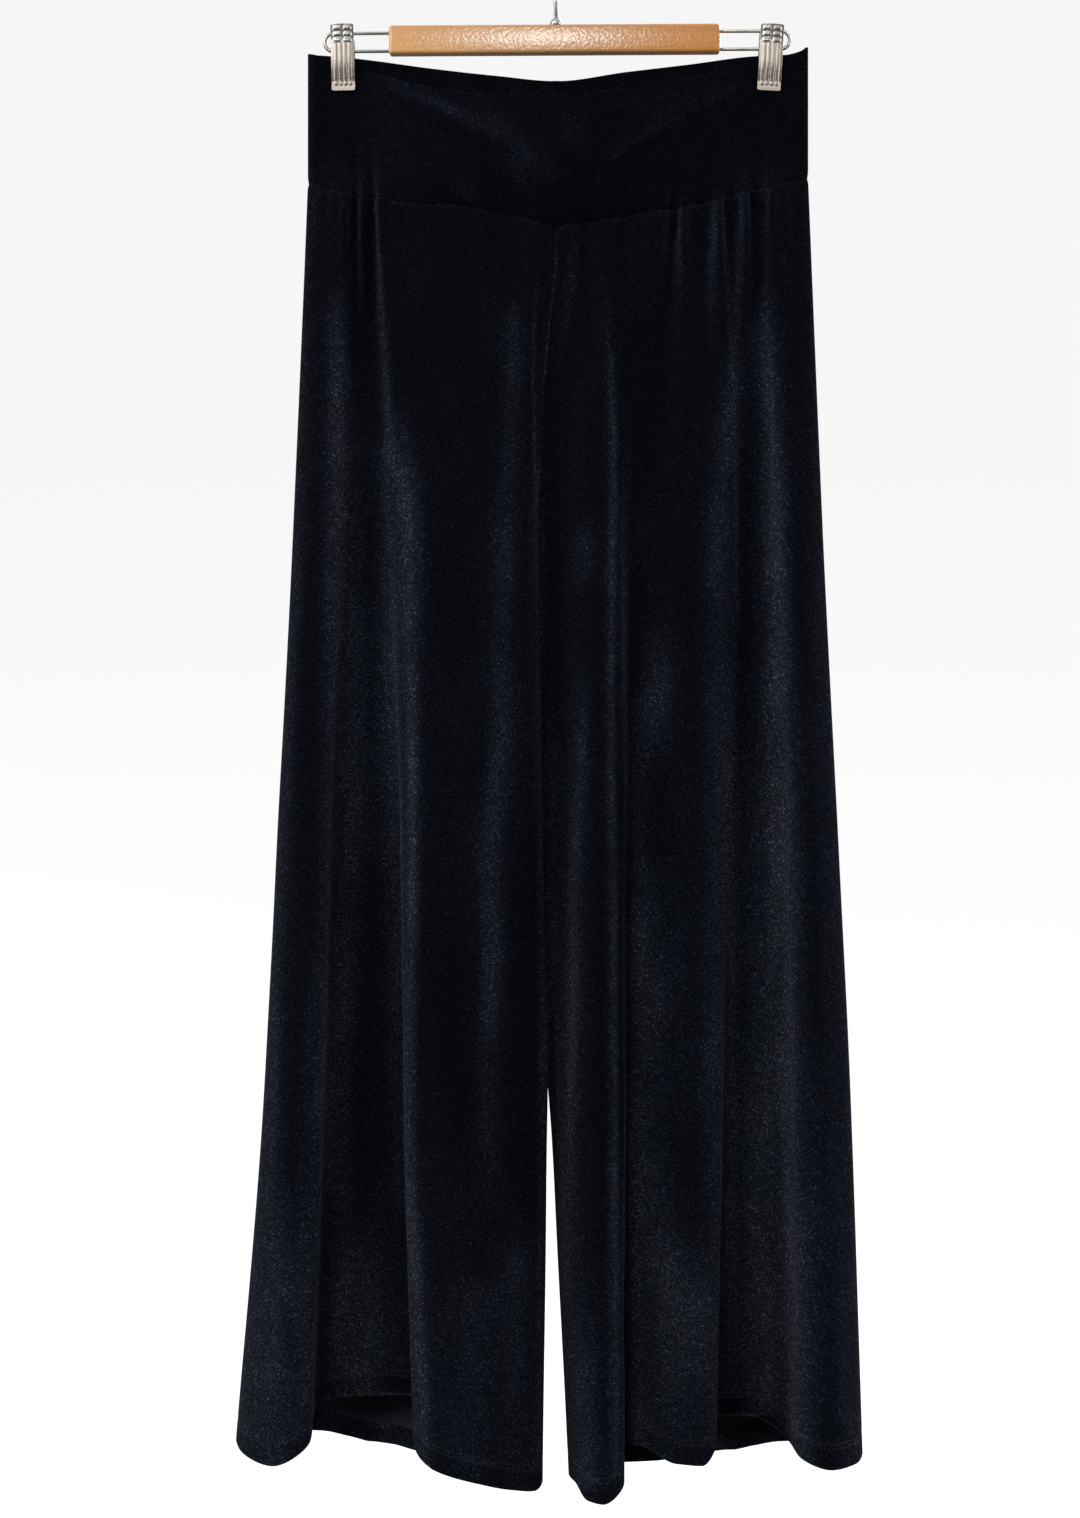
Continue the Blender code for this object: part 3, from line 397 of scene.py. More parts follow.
# In the hem: painted shade between the edge and the needle rows, and painted light at both. Where the
# hem is drawn up above a drop, its edge has a stronger painted highlight and the painted shade over it is
# deeper.
PAINTED_TURN_UP_SHADE = -0.09
PAINTED_DRAWN_UP_SHADE = -0.12
PAINTED_TURN_UP_SHADE_FADE = 2 * MM
PAINTED_NEEDLE_HIGHLIGHT = 0.07
PAINTED_HEM_EDGE_HIGHLIGHT = 0.70
PAINTED_HEM_EDGE_LOW = 0.3
PAINTED_HEM_EDGE_WIDTH = 1.9 * MM
HEM_DRAWN_UP = 1132 * MM
HEM_DRAWN_UP_STEP = 14 * MM

# Where the inner edges of the two legs press together, as shares of the leg's length (start, full,
# parting, apart), how far they are pushed out there, and how much more from lower down.
LEGS_MEET = (0.165, 0.195, 0.625, 0.77)
LEGS_MEET_WIDTH = 7 * MM
LEGS_PRESS = 0.35 * MM
LEGS_FULL = 1.7 * MM
LEGS_FULL_FROM = 0.54
LEGS_FULL_LENGTH = 0.10

# Sewn edges: how far they reach past their seams, and how far from them and from the waist seam a piece
# has its full creases. Sway: how far the cloth waves by itself in the legs and in the waistband.
LAP = 0.2 * MM
FREE_FROM_EDGE = 9 * MM
FREE_FROM_SEAM = 8 * MM
SWAY_LEG = 0.9 * MM
SWAY_BAND = 0.35 * MM

# The waves of the sway: radians for each millimetre across and down, and the phase. Then how far a wave
# bends to the side on its way down, in radians.
SWAY_WAVES = ((0.055, 0.0040, 0.3), (0.031, 0.0095, 1.9), (0.083, 0.0063, 4.1), (0.019, 0.0150, 2.6))
SWAY_BEND = 2.2

# Seams: how far the cloth dips along one, over what width, and what share of it the waistband's low edge
# has. Hem: its two needle rows above the edge with their grooves, a stitch's length, the gap to the next,
# the thread's radius, the rings of points along a stitch and the points in a ring, and in thread radii how
# far a stitch rises, how far its ends are sunk and how thin they are.
SEAM_DIP = 0.9 * MM
SEAM_WIDTH = 2.6 * MM
BAND_SEAM_SHARE = 0.7
NEEDLE_ROWS = (15.0 * MM, 18.0 * MM)
NEEDLE_DIP = 0.35 * MM
NEEDLE_WIDTH = 0.9 * MM
STITCH = 2.6 * MM
STITCH_GAP = 0.7 * MM
THREAD = 0.22 * MM
STITCH_RINGS, STITCH_SIDES = 5, 6
STITCH_RISE, STITCH_SUNK = 1.7, 0.7
STITCH_END = 0.55

# Hanger, as in the part's source: the bar, the wires, the hook and the ferrule. Then how far the wires and
# the hook's stem are set in, the steps round their bends and the points round them.
BAR_SIZE = (248 * MM, 12 * MM, 21.6 * MM)
BAR_CENTRE = Vector((-1.1 * MM, 0, -86.6 * MM))
BAR_EDGE = 2.5 * MM
BAR_EDGE_SEGMENTS = 6
HANGER_TILT = math.radians(-0.33)
WIRE_RADIUS = 1.35 * MM
WIRE_SPACING = 13.5 * MM
WIRE_ENDS = {"right": -174.8 * MM, "left": 176.6 * MM}
WIRE_HEIGHT = -87.5 * MM
HOOK_WIRE_RADIUS = 1.8 * MM
HOOK_INNER_RADIUS = 20 * MM
HOOK_TIP_ANGLE = math.radians(195)
HOOK_NECK_RADIUS = 14 * MM
FERRULE_RADIUS = 4.5 * MM
FERRULE_HEIGHT = 5 * MM
WIRE_SET_IN = 2 * MM
STEM_SET_IN = 1 * MM
WIRE_STEPS, HOOK_STEPS, NECK_STEPS = 28, 56, 14
WIRE_SIDES, SPRING_SIDES, FERRULE_SIDES = 16, 10, 40

# Clips: place across and tilt of each. A jaw is in millimetres: its middle's drop, and from the top down
# the drops and how far the sheet stands from the clip's middle plane. Its crown fades out to the lip.
CLIPS = {"right": (-159.6 * MM, math.radians(-1.1)), "left": (160.6 * MM, math.radians(3.0))}
CLIP_WIDTH = 17.4 * MM
CLIP_MIDDLE = 100.9
CLIP_SHEET = 1.2 * MM
JAW_LIP = 118.9
JAW_SIDE = (
    (76.6, 8.4), (79.4, 7.6), (83.4, 6.4), (88.9, 5.4), (93.4, 5.6), (101.4, 6.2), (108.4, 5.8),
    (114.4, 4.4), (JAW_LIP, 2.9), (122.9, 2.9), (125.2, 3.2),
)
JAW_CROWN = 1.1 * MM
JAW_CROWN_FADE = 14

# Springs of the clips: the coil, the points in one turn, and where its feet lie in Y and Z from its centre.
SPRING_RADIUS = 5.05 * MM
SPRING_LENGTH = 13.0 * MM
SPRING_WIRE = 0.6 * MM
SPRING_TURNS = 7
SPRING_STEPS = 20
SPRING_FOOT = (-4.4 * MM, -13 * MM)

# Camera: level, and the picture's long side spans this height at the hanger's plane.
CAMERA_PLACE = Vector((-0.012, -2.2, -0.62575))
CAMERA_SPAN = 1.1385
SENSOR = 36.0

# Stage: a round floor under the hanging cloth, the wall that it curves up into, and their own even glow.
FLOOR_HEIGHT = -1.5
STAGE_RADIUS = 5.2
STAGE_BEND = 1.6
STAGE_BEND_STEPS = 12
STAGE_HEIGHT = 5.0
STAGE_SIDES = 48
STAGE_COLOUR = (0.26, 0.26, 0.259, 1)
STAGE_GLOW = (1, 1, 0.995, 1)
STAGE_GLOW_STRENGTH = 0.79

# Soft studio light, a wide one at the upper left, a small one on the bar, one behind and a tall strip at
# each side: name, place, the point that it is turned to, width and height, and power in watts.
LIGHTS = (
    ("key_light",   (-1.5, -1.7, 0.9),  (0, 0, -0.6),  (1.5, 1.5),   36),
    ("bar_light",   (-0.03, -2.3, 0.5), (0, 0, -0.09), (0.26, 0.30), 10.5),
    ("back_light",  (1.4, 2.4, 0.9),    (0, 0, -0.6),  (1.6, 1.6),   90),
    ("left_strip",  (-1.7, -0.5, -0.3), (0, 0, -0.6),  (0.5, 2.2),   22),
    ("right_strip", (1.8, -0.4, -0.3),  (0, 0, -0.6),  (0.5, 2.2),   22),
)

# The dim room: its light from below to overhead, as (place, colour) stops, and how strong it is.
ROOM = ((0.0, (0.10, 0.10, 0.10)), (0.9, (0.85, 0.87, 0.90)))
ROOM_STRENGTH = 1.35


def ease(value):
    """0 to 1 with soft ends."""
    value = np.clip(value, 0.0, 1.0)
    return value * value * (3 - 2 * value)


def smooth(places, values, at):
    """A value read from the soft curve through some places, which lie in rising order. The curve turns
    only at its places, so it never swings past them."""
    at = min(max(at, places[0]), places[-1])
    last = len(places) - 2
    span = next(i for i in range(last + 1) if at <= places[i + 1] or i == last)

    def secant(i):
        return (values[i + 1] - values[i]) / (places[i + 1] - places[i])

    def slope(i):
        if i == 0 or i > last:
            return secant(min(i, last))
        before, after = secant(i - 1), secant(i)
        return 2 * before * after / (before + after) if before * after > 0 else 0.0

    width = places[span + 1] - places[span]
    t = (at - places[span]) / width
    start = (1 + 2 * t) * (1 - t) ** 2 * values[span] + t * (1 - t) ** 2 * width * slope(span)
    end = t * t * (3 - 2 * t) * values[span + 1] - t * t * (1 - t) * width * slope(span + 1)
    return start + end


def smooth_all(places, values, many):
    """The values of the same soft curve at many places."""
    return np.array([smooth(places, values, at) for at in many])


def curve_at(chain, at):
    """Places on the curve through a chain of corners, all but its first and last. "at" counts corners."""
    chain = np.array([tuple(corner) for corner in chain])
    span = np.clip(np.floor(at).astype(int), 0, len(chain) - 4)
    corners = [chain[span + k] for k in range(4)]
    knots = [np.zeros(len(at))]
    for near, far in zip(corners, corners[1:]):
        knots.append(knots[-1] + np.maximum(np.sqrt(np.linalg.norm(far - near, axis=1)), 1e-4))
    here = knots[1] + (at - span) * (knots[2] - knots[1])

    def between(p, q, low, high):
        return p + (q - p) * ((here - knots[low]) / (knots[high] - knots[low]))[:, None]

    ab, bc, cd = (between(corners[k], corners[k + 1], k, k + 1) for k in range(3))
    return between(between(ab, bc, 0, 2), between(bc, cd, 1, 3), 1, 2)


def fork_turn(share):
    """0 where a panel's inner edge faces the other leg's panel, 1 where it faces its own back."""
    return float(ease((share - FORK + FORK_TURN_START) / FORK_TURN_LENGTH))


def rise(share):
    """How far the front's and the back's inner edges stand from the leg's inner line."""
    open_part = RISE_DEPTH * math.sqrt(max(0.0, 1 - (share / FORK) ** 2))
    return GAP / 2 + open_part + LEG_WALL * math.sqrt(max(0.0, 1 - fork_turn(share) ** 2))


def front_corners(rows, share):
    """The folds of a front panel at one level, with its inner edge last."""
    points = [Vector((smooth(LEVELS, xs, share), smooth(LEVELS, ys, share))) * MM
              for name, xs, ys, seam, hem in rows]
    side, other_rows = (-1, LEFT_FRONT) if rows is RIGHT_FRONT else (1, RIGHT_FRONT)
    parting = float(ease((share - FORK) / (PARTED - FORK)))
    other_x = smooth(LEVELS, other_rows[-1][1], share) * MM
    shared_x = (points[-1].x + other_x) / 2
    points[-1].x = shared_x + (points[-1].x - shared_x) * parting + side * GAP / 2
    points[-1].y = points[-1].y * parting - rise(share)
    points[0].y -= GAP / 2
    return points


def back_corners(rows, share):
    """The folds of the back panel behind a front panel, in the same order."""
    front = front_corners(rows, share)
    outseam = Vector((front[0].x, GAP / 2))
    inner = Vector((front[-1].x, front[-1].y + 2 * rise(share)))
    points = [outseam]
    for name, across, ys, drawn_up in BACK:
        x = outseam.x + (inner.x - outseam.x) * across
        points.append(Vector((x, smooth(LEVELS, ys, share) * MM)))
    points.append(inner)
    return points


def column_places(rows, is_front):
    """Where a panel's columns lie, counted in folds. They crowd at its two side edges."""
    spans = len(rows) - 1 if is_front else len(BACK) + 1
    edge = [(i / EDGE_STEPS) ** EDGE_CROWD for i in range(EDGE_STEPS)]
    middle = [1 + i / COLUMN_STEPS for i in range((spans - 2) * COLUMN_STEPS + 1)]
    return np.array(edge + middle + [spans - place for place in reversed(edge)])


def panel_section(rows, is_front, share, at):
    """One level of a leg panel: places in X and Y, and the direction out of the cloth at each."""
    other_rows = LEFT_FRONT if rows is RIGHT_FRONT else RIGHT_FRONT
    front, back = front_corners(rows, share), back_corners(rows, share)
    own, opposite = (front, back) if is_front else (back, front)
    beside = front_corners(other_rows, share) if is_front else back_corners(other_rows, share)
    after = beside[-2].lerp(opposite[-2], fork_turn(share))
    facing = (1 if rows is RIGHT_FRONT else -1) * (1 if is_front else -1)
    chain = [opposite[1]] + own + [after]
    along = curve_at(chain, at + DIRECTION_STEP) - curve_at(chain, at - DIRECTION_STEP)
    return curve_at(chain, at), outward(along, facing)


def outward(along, facing):
    """The directions out of the cloth beside the directions along it, as seen from above."""
    out = facing * np.stack([along[..., 1], -along[..., 0]], axis=-1)
    return out / np.maximum(np.linalg.norm(out, axis=-1, keepdims=True), 1e-9)


def drops(rows, is_front, at):
    """At each column, the drop of the waist seam and of the hem, and how much higher the back's waist
    seam lies. That lift is gone at the fork, where the inseams meet."""
    if is_front:
        seams = [row[3] for row in rows]
        hems = [row[4] for row in rows]
        lifts = [0.0] * len(rows)
    else:
        shares = [0.0] + [row[1] for row in BACK] + [1.0]
        seams, hems = ([rows[0][k] + (rows[-1][k] - rows[0][k]) * s for s in shares] for k in (3, 4))
        hems = [hem - up for hem, up in zip(hems, [0] + [row[3] for row in BACK] + [0])]
        lifts = [(rows[-1][3] - BACK_SEAM_MIDDLE) * s for s in shares]
    marks = list(range(len(seams)))
    return [smooth_all(marks, values, at) * MM for values in (seams, hems, lifts)]


def arc_lengths(grid):
    """How far along its row each point of a grid lies."""
    steps = np.linalg.norm(np.diff(grid, axis=1), axis=2)
    return np.concatenate([np.zeros((len(grid), 1)), np.cumsum(steps, axis=1)], axis=1)


def sway(across, drop, seed):
    """Slow uneven waves of the cloth, about 1 either way."""
    total = 0
    for wide, tall, phase in SWAY_WAVES:
        bend = SWAY_BEND * np.sin(drop / MM * tall + phase)
        total = total + np.sin(across / MM * wide + seed * phase + bend)
    return total / len(SWAY_WAVES)


def gathers(grid, drop_below, arcs, table):
    """Short ridges down from the waist seam, with soft troughs beside them."""
    total = np.zeros(arcs.shape)
    top = grid[0]
    for x, length, half_width, height in table:
        x = x * MM
        nearest = int(np.argmin(np.abs(top[:, 0] - x)))
        if abs(top[nearest, 0] - x) > GATHER_REACH:
            continue
        away = (arcs - arcs[:, nearest:nearest + 1]) / (half_width * MM)
        fade = ease(drop_below / GATHER_START) * (1 - ease(drop_below / (length * MM))) ** GATHER_THINNING
        trough = TROUGH_SHARE * np.exp(-((np.abs(away) - TROUGH_PLACE) / TROUGH_WIDTH) ** 2)
        total += height * MM * (np.exp(-away ** 2) - trough) * fade
    return total


def creases(grid, arcs, table):
    """Long soft ridges and troughs, each drawn along its own line down the cloth."""
    total = np.zeros(arcs.shape)
    drop = -grid[..., 2] / MM
    for line, half_width, height in table:
        places = [point[1] for point in line]
        across = [point[0] for point in line]
        for i, row in enumerate(grid):
            level = float(np.median(drop[i]))
            if not places[0] < level < places[-1]:
                continue
            share = (level - places[0]) / (places[-1] - places[0])
            x = smooth(places, across, level) * MM
            nearest = int(np.argmin(np.abs(row[:, 0] - x) + CREASE_TO_SIDE * np.abs(row[:, 1])))
            if abs(row[nearest, 0] - x) > CREASE_REACH:
                continue
            width = half_width * MM * (CREASE_WIDTH + CREASE_WIDENING * share)
            away = (arcs[i] - arcs[i, nearest]) / width
            total[i] += height * MM * np.exp(-away ** 2) * ease(3 * share) * ease(3 * (1 - share))
    return total


def streaks(x, drop, table, slanted=False):
    """How much light is painted at each point, and shade where negative, from a table of streaks. A slanted
    streak runs more across than down."""
    along, beside = (x / MM, drop / MM) if slanted else (drop / MM, x / MM)
    total = np.zeros(x.shape)
    for low, high, line in table:
        across, down, strengths = zip(*line)
        starts, sides = (across, down) if slanted else (down, across)
        away = beside - np.interp(along, starts, sides)
        width = np.where(away < 0, low, high)
        inside = (along >= starts[0] - width) & (along <= starts[-1] + width)
        total += np.interp(along, starts, strengths) * inside * np.exp(-(away / width) ** 2)
    return total


def seam_dip(arcs, inner_share=1.0):
    """The dip of the cloth along the seams at a panel's two side edges. The inner edge has a share of it."""
    outer_edge = np.exp(-(arcs / SEAM_WIDTH) ** 2)
    inner_edge = np.exp(-((arcs[:, -1:] - arcs) / SEAM_WIDTH) ** 2)
    return -SEAM_DIP * (outer_edge + inner_share * inner_edge)


def legs_meeting(shares):
    """How far a panel's inner edge is pushed towards the other leg, at each level."""
    start, full, parting, apart = LEGS_MEET
    press = LEGS_PRESS * ease((shares - start) / (full - start)) * ease((apart - shares) / (apart - parting))
    lower = ease((shares - LEGS_FULL_FROM) / LEGS_FULL_LENGTH)
    return press + LEGS_FULL * lower * ease((apart - shares) / (apart - parting))


def lapped(grid):
    """A grid whose side edges reach a little further, so that sewn pieces touch."""
    reaching = grid.copy()
    for edge, beside in ((0, 1), (-1, -2)):
        way = grid[:, edge, :2] - grid[:, beside, :2]
        way /= np.maximum(np.linalg.norm(way, axis=-1, keepdims=True), 1e-9)
        reaching[:, edge, :2] += LAP * way
    return reaching


class Nodes:
    """Short calls for a material's nodes. A value is a number, a colour or another node's output."""

    def __init__(self, name):
        self.material = bpy.data.materials.new(name)
        self.material.use_nodes = True
        self.tree = self.material.node_tree
        self.shader = self.tree.nodes["Principled BSDF"]

    def add(self, kind, **values):
        node = self.tree.nodes.new(kind)
        for key, value in values.items():
            setattr(node, key, value)
        return node

    def link(self, source, target):
        self.tree.links.new(source, target)

    def place(self, scale):
        """Object coordinates, stretched."""
        coordinates = self.add("ShaderNodeTexCoord")
        mapping = self.add("ShaderNodeMapping")
        mapping.inputs["Scale"].default_value = scale
        self.link(coordinates.outputs["Object"], mapping.inputs["Vector"])
        return mapping.outputs["Vector"]

    def object_axis(self, axis):
        """One of the object's own coordinates, in metres."""
        split = self.add("ShaderNodeSeparateXYZ")
        self.link(self.place((1, 1, 1)), split.inputs["Vector"])
        return split.outputs[axis]

    def noise(self, scale, detail=3.0, roughness=0.5, stretch=(1, 1, 1), distortion=0.0):
        node = self.add("ShaderNodeTexNoise")
        node.inputs["Scale"].default_value = scale
        node.inputs["Detail"].default_value = detail
        node.inputs["Roughness"].default_value = roughness
        node.inputs["Distortion"].default_value = distortion
        self.link(self.place(stretch), node.inputs["Vector"])
        return node.outputs["Fac"]

    def ramp(self, value, stops):
        """A colour ramp through (place, colour or grey) stops."""
        node = self.add("ShaderNodeValToRGB")
        elements = node.color_ramp.elements
        while len(elements) < len(stops):
            elements.new(0.5)
        for element, (place, colour) in zip(elements, stops):
            element.position = place
            element.color = (*colour, 1) if hasattr(colour, "__len__") else (colour, colour, colour, 1)
        self.link(value, node.inputs["Fac"])
        return node.outputs["Color"]

    def math(self, operation, a, b, c=None):
        node = self.add("ShaderNodeMath", operation=operation)
        for slot, value in zip(node.inputs, (a, b, c)):
            if value is None:
                continue
            if isinstance(value, (int, float)):
                slot.default_value = value
            else:
                self.link(value, slot)
        return node.outputs["Value"]

    def mix(self, kind, factor, a, b):
        node = self.add("ShaderNodeMix", data_type="RGBA", blend_type=kind)
        for slot, value in ((node.inputs["Factor"], factor), (node.inputs["A"], a), (node.inputs["B"], b)):
            if hasattr(value, "is_linked"):
                self.link(value, slot)
            elif hasattr(value, "__len__"):
                slot.default_value = (*value, 1)
            else:
                slot.default_value = value
        return node.outputs["Result"]

    def bump(self, height, strength, distance, before=None):
        node = self.add("ShaderNodeBump")
        node.inputs["Strength"].default_value = strength
        node.inputs["Distance"].default_value = distance
        self.link(height, node.inputs["Height"])
        if before:
            self.link(before, node.inputs["Normal"])
        return node.outputs["Normal"]

    def set(self, **values):
        """Values of the shader's own inputs, whose names have underscores for spaces."""
        for key, value in values.items():
            slot = self.shader.inputs[key.replace("_", " ")]
            if hasattr(value, "is_linked"):
                self.link(value, slot)
            else:
                slot.default_value = value


# A ramp is a row of (place, value) stops, and the coarseness of a pattern is a count to a metre.
LINEAR = ((0.0, 0.0), (1.0, 1.0))

# Pile: its own colour unlit, its colours in faint and in full painted light, and its lilac, a tone of its
# own in patches and a painted sheen along the outlines. Then the coarseness of its crush, patches, tufts and
# fur,
# and how its painted light is spread: the lift of the crush, the share of lilac in the patches, the painted
# glint of each tuft, how the painted light gathers where it is strong and as painted sheen along the
# outlines, how soon it turns pale, and how much of the glint pattern is in the unlit pile.
PILE_BLACK = (0.0022, 0.0024, 0.0036)
PILE_BLUE_PAINTED_DIM = (0.0106, 0.0154, 0.0260)
PILE_PALE_PAINTED_BRIGHT = (0.0148, 0.0173, 0.0224)
PILE_LILAC = (0.0166, 0.0162, 0.0236)
PILE_SHEEN = (0.72, 0.84, 1.0, 1.0)
CRUSH, PATCHES, TUFTS, FUR = 26, 9, 1050, 1400
CRUSH_LIFT = ((0.32, 0.80), (0.52, 1.0), (0.70, 1.16))
PATCH_SHARE = ((0.54, 0.0), (0.66, 0.35))
PAINTED_GLINTS = ((0.0, 0.08), (0.45, 0.14), (0.72, 0.22), (0.90, 0.37), (0.965, 0.62), (1.0, 1.0))
PAINTED_GLITTER = 4.5
PAINTED_LIGHT_POWER = 1.6
PAINTED_RIM_POWER = 1.6
PAINTED_RIM_SHEEN = 0.95
RIM_BY_PAINTED_LIGHT = (2.4, 0.9)
PALE_BY_LIGHT = 1.2
GLITTER_IN_BLACK = 0.35

# The wrong side of the cloth, its wales, and the thread and its twists.
KNIT = ((0.3, (0.0128, 0.0125, 0.0190)), (0.7, (0.0185, 0.0182, 0.0270)))
KNIT_PATCHES, WALES = 40, 330
THREAD_TONE = ((0.3, (0.009, 0.010, 0.0135)), (0.7, (0.026, 0.028, 0.036)))
TWISTS = 1800

# Beech: its pale tones, the warm ones that come in towards +X, the fine grain and the flecks, a tint from
# the bar's -X end to its +X end, warm at the ends and cool in the middle as a painted tint of the lacquer's
# highlight there, and the coarseness of bands, grain, flecks and lacquer.
# The last two lines turn a place along the bar into a share of its length, and of the warm tones.
BEECH_PALE = ((0.28, (0.50, 0.250, 0.084)), (0.48, (0.59, 0.315, 0.120)), (0.72, (0.67, 0.390, 0.172)))
BEECH_WARM = ((0.28, (0.44, 0.174, 0.034)), (0.48, (0.52, 0.225, 0.050)), (0.72, (0.60, 0.285, 0.078)))
BEECH_GRAIN = ((0.35, 0.90), (0.6, 1.0))
BEECH_FLECKS = ((0.28, 0.84), (0.36, 1.0))
BAR_TINT_PAINTED_HIGHLIGHT = (
    (0.06, (0.87, 0.76, 0.56)), (0.30, (0.81, 0.81, 0.82)), (0.44, (0.78, 0.80, 0.84)),
    (0.60, (0.75, 0.73, 0.68)), (0.92, (0.90, 0.81, 0.54)),
)
BANDS, GRAINS, FLECKS, RIPPLES = 34, 420, 620, 460
ALONG_BAR = (4.0, 0.5)
WARM_ALONG_BAR = (5.5, 0.42)

# Nickel: its satin and its polished tones and roughness, its patches, how steeply the one turns to the
# other up the object, and the heights above which the clips and the wires are polished.
NICKEL_SATIN = ((0.3, (0.31, 0.271, 0.229)), (0.7, (0.345, 0.305, 0.262)))
NICKEL_POLISHED = ((0.3, (0.375, 0.358, 0.330)), (0.7, (0.415, 0.398, 0.370)))
SATIN_ROUGHNESS = 0.42
POLISHED_ROUGHNESS = 0.32
NICKEL_PATCHES = 40
NICKEL_TURN = 150
CLIP_POLISHED_ABOVE = -93 * MM
WIRE_POLISHED_ABOVE = -1.0


def velvet():
    """Black pile: dark from the front, with sheen painted into its colour where its painted light is high
    and where it is seen edge on, and painted glints in those places."""
    n = Nodes("black_velvet_pile")
    crush = n.noise(CRUSH, 3, 0.6, stretch=(1.0, 1.0, 0.5), distortion=0.5)
    # The painted light of each point: sheen, and shade where low, painted into the colour.
    painted_light = n.add("ShaderNodeAttribute", attribute_name="painted_light").outputs["Fac"]
    painted_amount = n.math("MULTIPLY", painted_light, n.ramp(crush, CRUSH_LIFT))
    painted_lit = n.math("POWER", n.math("MAXIMUM", painted_amount, 0.0), PAINTED_LIGHT_POWER)
    facing = n.add("ShaderNodeLayerWeight")
    facing.inputs["Blend"].default_value = 0.5
    painted_rim = n.math("POWER", facing.outputs["Facing"], PAINTED_RIM_POWER)
    rim_share = n.math("MULTIPLY_ADD", painted_light, *RIM_BY_PAINTED_LIGHT)
    rim_share = n.math("MINIMUM", n.math("MAXIMUM", rim_share, 0.0), 1.0)
    painted_lit = n.math("MULTIPLY_ADD", n.math("MULTIPLY", painted_rim, rim_share), PAINTED_RIM_SHEEN, painted_lit)
    pale = n.math("MINIMUM", n.math("MULTIPLY", painted_lit, PALE_BY_LIGHT), 1.0)
    hue = n.mix("MIX", pale, PILE_BLUE_PAINTED_DIM, PILE_PALE_PAINTED_BRIGHT)
    hue = n.mix("MIX", n.ramp(n.noise(PATCHES, 2, 0.5), PATCH_SHARE), hue, PILE_LILAC)
    hue = n.mix("MIX", n.math("MINIMUM", painted_rim, 1.0), hue, PILE_LILAC)
    tufts = n.add("ShaderNodeTexVoronoi")
    tufts.inputs["Scale"].default_value = TUFTS
    n.link(n.place((1, 1, 1)), tufts.inputs["Vector"])
    each = n.add("ShaderNodeSeparateColor")
    n.link(tufts.outputs["Color"], each.inputs["Color"])
    painted_glint = n.math("MULTIPLY", n.ramp(each.outputs["Red"], PAINTED_GLINTS), PAINTED_GLITTER)
    # The colour with its painted sheen and painted glints, over the black pile's own grain.
    shade = n.mix("MULTIPLY", 1.0, hue, n.math("MULTIPLY", painted_lit, painted_glint))
    faint = n.math("MULTIPLY_ADD", painted_glint, GLITTER_IN_BLACK, 1 - GLITTER_IN_BLACK)
    black = n.mix("MULTIPLY", 1.0, PILE_BLACK, faint)
    shade = n.mix("ADD", 1.0, shade, black)
    normal = n.bump(n.noise(FUR, 2, 0.6), 0.35, 0.6 * MM, n.bump(crush, 0.35, 3 * MM))
    n.set(Base_Color=shade, Roughness=0.85, Normal=normal)
    n.set(Sheen_Weight=0.03, Sheen_Roughness=0.22, Sheen_Tint=PILE_SHEEN, Specular_IOR_Level=0.0)
    return n.material


def velvet_back():
    """The wrong side of the cloth: a flat fine knit."""
    n = Nodes("black_velvet_back")
    wales = n.add("ShaderNodeTexWave", wave_type="BANDS", bands_direction="X")
    wales.inputs["Scale"].default_value = WALES
    wales.inputs["Distortion"].default_value = 0.6
    n.link(n.place((1, 1, 1)), wales.inputs["Vector"])
    n.set(Base_Color=n.ramp(n.noise(KNIT_PATCHES, 3), KNIT), Roughness=0.9, Specular_IOR_Level=0.15)
    n.set(Normal=n.bump(wales.outputs["Fac"], 0.3, 0.3 * MM), Sheen_Weight=0.02, Sheen_Roughness=0.5)
    return n.material


def thread():
    """Black polyester sewing thread."""
    n = Nodes("black_thread")
    n.set(Base_Color=n.ramp(n.noise(TWISTS, 1), THREAD_TONE), Roughness=0.6, Specular_IOR_Level=0.12)
    return n.material


def beech():
    """Varnished beech: straight fine grain along the bar under clear lacquer, warmer towards +X, with a cool
    tint painted in the middle under its highlight.
    """
    n = Nodes("varnished_beech")
    bands = n.noise(BANDS, 4, 0.6, stretch=(0.05, 1.0, 1.0), distortion=0.3)
    x = n.object_axis("X")
    to_warm = n.ramp(n.math("MULTIPLY_ADD", x, *WARM_ALONG_BAR), LINEAR)
    colour = n.mix("MIX", to_warm, n.ramp(bands, BEECH_PALE), n.ramp(bands, BEECH_WARM))
    fine = n.ramp(n.noise(GRAINS, 2, 0.5, stretch=(0.04, 1.0, 1.0)), BEECH_GRAIN)
    flecks = n.ramp(n.noise(FLECKS, 1, 0.4, stretch=(0.16, 1.0, 1.0)), BEECH_FLECKS)
    # Tint along the bar: warm at the ends, and a cool painted highlight tint in the middle.
    tint_with_painted_highlight = n.ramp(n.math("MULTIPLY_ADD", x, *ALONG_BAR), BAR_TINT_PAINTED_HIGHLIGHT)
    for layer in (fine, flecks, tint_with_painted_highlight):
        colour = n.mix("MULTIPLY", 1.0, colour, layer)
    lacquer = n.bump(n.noise(RIPPLES, 1, 0.5, stretch=(1.0, 1.0, 0.8)), 0.31, 0.5 * MM)
    n.set(Base_Color=colour, Roughness=0.42, Normal=n.bump(bands, 0.08, 0.4 * MM))
    n.set(Coat_Weight=1.0, Coat_Roughness=0.21, Coat_Normal=lacquer, Specular_IOR_Level=0.3)
    return n.material


